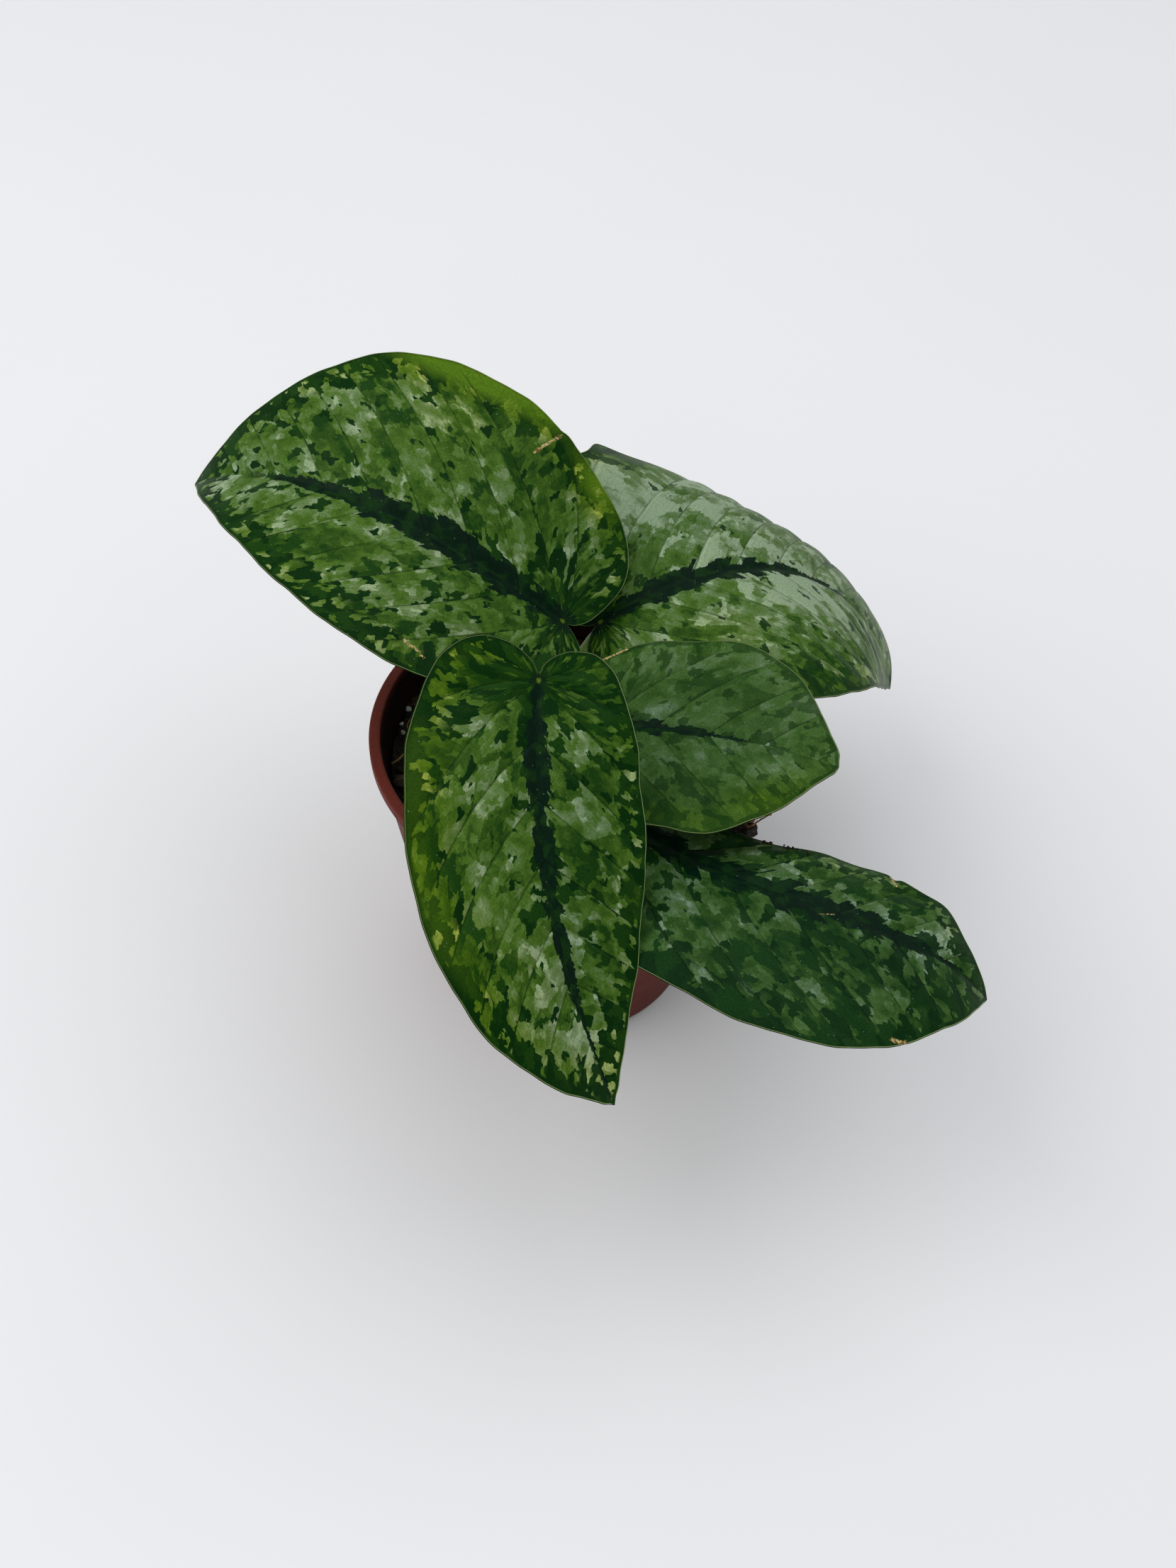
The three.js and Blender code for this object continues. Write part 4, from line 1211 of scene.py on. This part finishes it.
class Blade:
    """One leaf blade as a grid, whose rows run from margin to margin along its side veins."""

    def __init__(self, leaf, look, settings):
        self.leaf, self.look = leaf, look
        self.rows, self.columns = settings.rows, settings.columns
        self.spacing = look["spacing"]
        self.depth = settings.vein_depth / MM * look["relief"]
        self.thick = settings.thickness / MM
        self.place_points()

    def place_points(self):
        """Works out where the points lie on the flat blade, and how far from its margin and scars."""
        length, rows, columns = self.leaf["length"], self.rows, self.columns
        foot = length * (np.arange(1, rows) / rows) ** ROW_POWER
        out = np.arange(-columns, columns + 1) / columns
        x, y = np.empty((2, rows - 1, 2 * columns + 1))
        outline = []
        for side, sign in (("right", -1), ("left", 1)):
            margin = worn_margin(half_margin(self.leaf[side], length, rows), sign, self.look)
            outline.append(margin * [1, sign])
            on = out * sign >= 0
            share = np.abs(out[on])
            x[:, on] = foot[:, None] + (margin[1:rows, 0] - foot)[:, None] * share
            y[:, on] = sign * share * margin[1:rows, 1][:, None]
        x = np.concatenate([[0], x.ravel(), [length]])
        y = np.concatenate([[0], y.ravel(), [0]])
        self.x, self.y = x, y
        self.edge = np.abs(np.concatenate([[0], np.tile(out, rows - 1), [0]]))
        self.share = np.clip(x / length, 0, 1)
        self.out, self.along = vein_places(x, y)
        self.scar = distance_to_lines(x, y, self.look["scars"])
        outline = np.vstack(outline)
        self.rim = np.empty(len(x))
        # A few thousand points at a time, to spare memory
        for start in range(0, len(x), 4000):
            part = slice(start, start + 4000)
            away = np.hypot(x[part, None] - outline[None, :, 0], y[part, None] - outline[None, :, 1])
            self.rim[part] = away.min(axis=1)
        self.rim[self.edge > 0.999] = 0

    def veins(self):
        """1 on the main side veins and 0 between them, and a wave that is highest on them.

        Both fade near the midrib and the margin."""
        off = np.abs(np.mod(self.along / self.spacing + 0.5, 1) - 0.5) * self.spacing
        fade = smoothstep(0.6, 8, self.rim) * smoothstep(0.5, 3, np.abs(self.out))
        fade = fade * (1 - 0.8 * smoothstep(0.6, 0.92, self.share))
        return bell(off, 0.6) * fade, np.cos(2 * np.pi * off / self.spacing) * fade

    def relief(self):
        """How far the upper face stands above the plain blade."""
        lines, quilt = self.veins()
        flat = np.column_stack([self.out, self.along, np.full_like(self.out, 7.0 * self.look["seed"])])
        uneven = 0.22 * smooth_noise(flat, 71, 9.0) + 0.08 * smooth_noise(flat, 72, 3.5)
        channel = bell(self.out, 1.3) * (1 - self.share) ** 0.7
        uneven = (uneven * self.look["relief"] - 0.45 * channel) * smoothstep(0, 4, self.rim)
        return uneven - self.depth * (lines + 0.55 * quilt)

    def marks(self):
        """How silver, dark and sunny each point is: darker and less silver round the notch, as painted shade
        where the lobes fold, and by this leaf's own marks, which paint some of its light and shade as well.
        """
        # Painted shade round the notch, where the lobes fold
        found = np.outer(bell(np.hypot(self.x, self.y), math.sqrt(90)), (-0.42, 0.3, 0))
        for x, y, long, wide, *amounts in self.look["marks"]:
            found += np.outer(bell(self.x - x, long) * bell(self.y - y, wide), amounts)
        return found

    def add_to(self, shells):
        """Adds the upper face, the underside and the rounded edge between them."""
        lines, quilt = self.veins()
        relief = self.relief()
        thin = self.thick * (1 - 0.45 * smoothstep(0.2, 1, self.edge)) * smoothstep(-0.6, 0.5, self.rim)
        sunk = thin + 0.55 * self.depth * (lines + quilt * 0.6) - 0.4 * relief
        upper = blade_points(self.leaf, self.x, self.y, -relief)
        lower = blade_points(self.leaf, self.x, self.y, sunk)
        columns, count = 2 * self.columns, len(self.x)
        tip = count - 1
        starts = [1 + row * (columns + 1) for row in range(self.rows - 1)]
        top = grid_faces(self.rows - 2, columns, 1)
        for j in range(columns):
            top.append((0, starts[0] + j, starts[0] + j + 1))
            top.append((tip, starts[-1] + j + 1, starts[-1] + j))
        under = [tuple(corner + count for corner in reversed(face)) for face in top]
        # The rounded edge is one more loop of points, half-way down and a little further out
        loop = [0, *starts, tip, *(start + columns for start in reversed(starts))]
        middle = (upper[loop] + lower[loop]) / 2
        normal = unit(upper[loop] - lower[loop] + 1e-9)
        heading = unit(np.roll(middle, -1, 0) - np.roll(middle, 1, 0))
        middle = middle + np.cross(heading, normal) * EDGE_SWELL
        for k, a in enumerate(loop):
            after = (k + 1) % len(loop)
            b, m, n = loop[after], 2 * count + k, 2 * count + after
            top.append((b, n, m, a))
            under.append((n, b + count, a + count, m))
        shifted = self.along + LEAVES_APART * self.spacing * self.look["seed"]
        values = {
            "flow": np.column_stack([self.out, shifted, self.share]),
            "rim": self.rim,
            "marks": self.marks(),
            "scar": self.scar,
        }
        values = {name: np.concatenate([value, value, value[loop]]) for name, value in values.items()}
        values["rim"][2 * count :] = -1
        slots = [0] * len(top) + [1] * len(under)
        shells.add(np.vstack([upper, lower, middle]), top + under, slots, **values)


def add_petiole(shells, leaf):
    """The stalk from the stem to the notch, grooved, with a sheath and a knee, and the keel of the blade."""
    dense = stem_points(400)
    start = dense[np.argmax(dense[:, 2] >= leaf["stem_height"])]
    shares = np.array(KEEL_SHARES)
    radius = PETIOLE_RADIUS + (KEEL_RADIUS - PETIOLE_RADIUS) * np.minimum(1, shares * 6)
    depth = 0.95 + 0.9 * radius * np.where(shares > 0.5, 1 - 0.5 * (shares - 0.5), 1)
    depth[:3] += [1.3, 0.5, 0.15]
    keel = blade_points(leaf, shares * leaf["length"], np.zeros(len(shares)), depth)
    knots = np.vstack([start, leaf["petiole"], keel])
    points = through(knots, 240)
    along = walked(points)
    # The place along it is 0 at the stem and 1 at the notch
    place = along / walked(knots[:3])[-1]
    radius = np.interp(place, [0, 1, 1.5, place[-1]], [1.84, PETIOLE_RADIUS, 0.62, 0.12])
    knee = bell(place - 0.86, 0.09)
    radius = radius * (1 + 0.09 * knee) + 0.03 * knee * np.sin(along * 7)
    # The sides are carried back from the blade, so that the groove faces its upper side
    up = blade_axes(leaf, np.array([0.02]))[2][0]
    side, other = (part[::-1] for part in carried_frames(points[::-1], up))
    turn = (angles_round(PETIOLE_SIDES) + np.pi) % (2 * np.pi) - np.pi
    hollow = (smoothstep(1.25, 0.9, place) * (1 - 0.9 * knee))[:, None]
    groove = 1 - 0.2 * bell(turn, 0.42) * hollow
    sheath = 1 + 0.3 * bell(np.abs(turn) - 0.72, 0.16) * smoothstep(0.78, 0.6, place)[:, None]
    faces = [tuple(reversed(face)) for face in skin(len(points), PETIOLE_SIDES)]
    shells.add(swept(points, radius[:, None] * groove * sheath, side, other), faces, 2)


def make_leaf(name, settings):
    leaf, look = LEAVES[name], {**LEAF_LOOKS[name], "spacing": settings.vein_spacing / MM}
    colours = {key: tuple(getattr(settings, key)) for key in LEAF_COLOURS}
    for key, blue in BLUE_TINTS.items():
        colours[key] = tuple(c * (1 + (b - 1) * look["cool"]) for c, b in zip(colours[key], blue))
    shells = Shells()
    Blade(leaf, look, settings).add_to(shells)
    add_petiole(shells, leaf)
    finishes = [
        leaf_upper_finish(look, colours),
        leaf_under_finish(look, colours),
        stalk_finish("stalk_%d" % look["seed"], *STALK_TINTS),
    ]
    shells.piece(name.replace("leaf", "dressed_leaf"), finishes, "leaf", [name])


# The stage


def make_floor(settings):
    """A pale floor just below the pot."""
    size, steps = 3.0, 24
    grid = np.linspace(-size, size, steps + 1)
    y, x = (part.ravel() for part in np.meshgrid(grid, grid))
    mesh = bpy.data.meshes.new("floor")
    mesh.from_pydata(np.column_stack([x, y, np.full(len(x), -0.0002)]).tolist(), [], grid_faces(steps, steps))
    finish = Finish("pale_floor", Specular_IOR_Level=0.1)
    cloud = finish.lumps(140.0, 2.0)
    colour = finish.mix(cloud, settings.floor, tuple(c * 0.97 for c in settings.floor))
    mesh.materials.append(finish.paint(colour, 0.85 + (cloud - 0.5) * 0.05))
    floor = bpy.data.objects.new("floor", mesh)
    bpy.context.scene.collection.objects.link(floor)


def add_light(name, place_mm, aim_mm, size_mm, power, colour):
    lamp = bpy.data.lights.new(name, "AREA")
    lamp.shape, lamp.size, lamp.energy, lamp.color = "DISK", size_mm * MM, power, colour
    light = bpy.data.objects.new(name, lamp)
    light.location = Vector(place_mm) * MM
    light.rotation_euler = (Vector(aim_mm) - Vector(place_mm)).to_track_quat("-Z", "Y").to_euler()
    bpy.context.scene.collection.objects.link(light)


def make_lights(settings):
    """Light from all round, with a softbox and a fill above."""
    world = bpy.data.worlds.new("studio")
    world.use_nodes = True
    sky = world.node_tree.nodes["Background"].inputs
    sky["Color"].default_value = (*settings.sky, 1)
    sky["Strength"].default_value = settings.sky_strength
    bpy.context.scene.world = world
    add_light("softbox", (-900, -250, 1150), (0, 0, 60), 1300, settings.softbox, SOFTBOX_TINT)
    add_light("fill", (300, 300, 1400), (0, 0, 70), 1500, settings.fill, FILL_TINT)
    bpy.context.scene.view_settings.view_transform = "Standard"


def make_camera():
    """The camera stands where the photograph was taken from."""
    tilt, roll = math.radians(CAMERA_TILT), math.radians(CAMERA_ROLL)
    ahead = Vector((0, math.cos(tilt), -math.sin(tilt)))
    right = Vector((1, 0, 0))
    up = right.cross(ahead)
    across = right * math.cos(roll) + up * math.sin(roll)
    upward = up * math.cos(roll) - right * math.sin(roll)
    rightwards, downwards = ((at - size / 2) / PHOTO_FOCAL for at, size in zip(PHOTO_RIM, PHOTO_SIZE))
    towards_rim = across * rightwards - upward * downwards + ahead
    lens = bpy.data.cameras.new("camera")
    lens.sensor_fit, lens.sensor_height = "VERTICAL", SENSOR_HEIGHT
    lens.sensor_width = SENSOR_HEIGHT * 3 / 4
    lens.lens = SENSOR_HEIGHT * PHOTO_FOCAL / PHOTO_SIZE[1]
    lens.clip_start, lens.clip_end = 0.01, 20
    camera = bpy.data.objects.new("camera", lens)
    stand = Vector((0, 0, POT_HEIGHT)) - CAMERA_DISTANCE * towards_rim
    turn = Matrix((across, upward, -ahead)).transposed().to_4x4()
    camera.matrix_world = Matrix.Translation(stand * MM) @ turn
    bpy.context.scene.collection.objects.link(camera)
    bpy.context.scene.camera = camera


# Settings, operators and panel


def about(name, description, default):
    return {"name": name, "description": description, "default": default}


def length(name, description, default_mm):
    return FloatProperty(**about(name, description, default_mm * MM), min=0, unit="LENGTH", precision=5)


def tint(name, description, default):
    return FloatVectorProperty(**about(name, description, default), min=0, max=1, subtype="COLOR")


def power(name, description, default):
    return FloatProperty(**about(name, description, default), min=0, unit="POWER")


def number(name, description, default, least):
    return IntProperty(**about(name, description, default), min=least)


class PotSettings(bpy.types.PropertyGroup):
    """The nursery pot."""

    colour: tint("Plastic", "Colour of the pot's plastic", (0.11, 0.0165, 0.0095))
    sides: number("Sides", "Steps round the pot", 192, 24)


class SoilSettings(bpy.types.PropertyGroup):
    """The compost and what lies on it."""

    rings: number("Rings", "Rings of the soil's surface", 72, 8)
    sides: number("Sides", "Steps round the soil", 320, 24)
    crumbs: number("Crumbs", "Crumbs and chips on the soil", 900, 0)
    grains: number("Perlite Grains", "White grains on the soil", 46, 0)
    rootlets: number("Rootlets", "Dry rootlets on the soil", 60, 0)
    peat: tint("Peat", "Colour of moist peat", (0.008, 0.006, 0.005))
    dry_peat: tint("Dry Peat", "Colour of drier crumbs of peat", (0.03, 0.02, 0.014))
    perlite: tint("Perlite", "Colour of the white grains", (0.72, 0.71, 0.67))


class LeafSettings(bpy.types.PropertyGroup):
    """The leaves and their pattern."""

    rows: number("Rows", "Rows of a blade, along its side veins", 220, 20)
    columns: number("Columns", "Steps from the midrib to the margin", 52, 4)
    thickness: length("Thickness", "Thickness of a blade at its midrib", 0.8)
    vein_spacing: length("Vein Spacing", "Distance between the main side veins", 9)
    vein_depth: length("Vein Depth", "How deep the main side veins are sunk", 0.3)
    stripe: tint("Stripe", "Colour of the dark stripe along the midrib", (0.0013, 0.011, 0.0045))
    ground: tint("Ground", "Darkest green between the patches", (0.001, 0.021, 0.0012))
    deep: tint("Deep Green", "Dark green of the blotches", (0.008, 0.042, 0.003))
    green: tint("Green", "Mid green of the patches", (0.03, 0.079, 0.006))
    bright: tint("Light Green", "Lighter green of the patches", (0.06, 0.13, 0.014))
    silver: tint("Silver", "Silver green of the patches", (0.118, 0.187, 0.066))
    pale: tint("Pale Silver", "Palest silver of the patches", (0.26, 0.345, 0.19))
    lime: tint("Lime", "Yellow green where light comes through", (0.07, 0.15, 0.004))
    edge: tint("Edge", "Thin line along the margin", (0.38, 0.48, 0.19))


class StageSettings(bpy.types.PropertyGroup):
    """The floor and the lights."""

    floor: tint("Floor", "Colour of the floor", (0.8, 0.8, 0.815))
    sky: tint("Sky", "Colour of the light from all round", (0.97, 0.98, 1.0))
    sky_strength: FloatProperty(**about("Sky Strength", "Strength of the light from all round", 0.6), min=0)
    softbox: power("Softbox", "Power of the light at the left", 9.5)
    fill: power("Fill", "Power of the light above", 6)


class PlantSettings(bpy.types.PropertyGroup):
    """All settings of the plant."""

    pot: PointerProperty(type=PotSettings)
    soil: PointerProperty(type=SoilSettings)
    leaves: PointerProperty(type=LeafSettings)
    stage: PointerProperty(type=StageSettings)


class SCINDAPSUS_OT_pot(bpy.types.Operator):
    """Build the nursery pot"""

    bl_idname = "scindapsus.pot"
    bl_label = "Pot"

    def execute(self, context):
        make_pot(context.scene.scindapsus.pot)
        return {"FINISHED"}


class SCINDAPSUS_OT_soil(bpy.types.Operator):
    """Build the peat and the clump at its rim"""

    bl_idname = "scindapsus.soil"
    bl_label = "Soil"

    def execute(self, context):
        make_soil(context.scene.scindapsus.soil)
        make_clump(context.scene.scindapsus.soil)
        return {"FINISHED"}


class SCINDAPSUS_OT_grit(bpy.types.Operator):
    """Strew crumbs, perlite and rootlets over the soil"""

    bl_idname = "scindapsus.grit"
    bl_label = "Crumbs, Perlite and Rootlets"

    def execute(self, context):
        settings = context.scene.scindapsus.soil
        make_crumbs(settings)
        make_perlite(settings)
        make_rootlets(settings)
        return {"FINISHED"}


class SCINDAPSUS_OT_stem(bpy.types.Operator):
    """Build the stem with its aerial roots"""

    bl_idname = "scindapsus.stem"
    bl_label = "Stem"

    def execute(self, context):
        make_stem()
        return {"FINISHED"}


class SCINDAPSUS_OT_leaves(bpy.types.Operator):
    """Build the five leaves with their stalks"""

    bl_idname = "scindapsus.leaves"
    bl_label = "Leaves"

    def execute(self, context):
        for name in LEAVES:
            make_leaf(name, context.scene.scindapsus.leaves)
        return {"FINISHED"}


class SCINDAPSUS_OT_stage(bpy.types.Operator):
    """Build the floor, the lights and the camera"""

    bl_idname = "scindapsus.stage"
    bl_label = "Stage"

    def execute(self, context):
        settings = context.scene.scindapsus.stage
        make_floor(settings)
        make_lights(settings)
        make_camera()
        return {"FINISHED"}


OPERATORS = (
    SCINDAPSUS_OT_pot,
    SCINDAPSUS_OT_soil,
    SCINDAPSUS_OT_grit,
    SCINDAPSUS_OT_stem,
    SCINDAPSUS_OT_leaves,
    SCINDAPSUS_OT_stage,
)


class SCINDAPSUS_PT_panel(bpy.types.Panel):
    """Lists the pieces of the plant and their settings"""

    bl_label = "Potted Scindapsus"
    bl_idname = "SCINDAPSUS_PT_panel"
    bl_space_type = "VIEW_3D"
    bl_region_type = "UI"
    bl_category = "Scindapsus"

    def draw(self, context):
        for operator in OPERATORS:
            self.layout.operator(operator.bl_idname)
        for group in ("pot", "soil", "leaves", "stage"):
            settings = getattr(context.scene.scindapsus, group)
            box = self.layout.box()
            box.label(text=group.title())
            for name in settings.__annotations__:
                box.prop(settings, name)


CLASSES = (
    PotSettings, SoilSettings, LeafSettings, StageSettings, PlantSettings, *OPERATORS, SCINDAPSUS_PT_panel,
)


def register():
    for kind in CLASSES:
        bpy.utils.register_class(kind)
    bpy.types.Scene.scindapsus = PointerProperty(type=PlantSettings)


def unregister():
    del bpy.types.Scene.scindapsus
    for kind in reversed(CLASSES):
        bpy.utils.unregister_class(kind)


def main():
    register()
    for operator in OPERATORS:
        group, name = operator.bl_idname.split(".")
        getattr(getattr(bpy.ops, group), name)()
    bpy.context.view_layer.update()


if __name__ == "__main__":
    main()
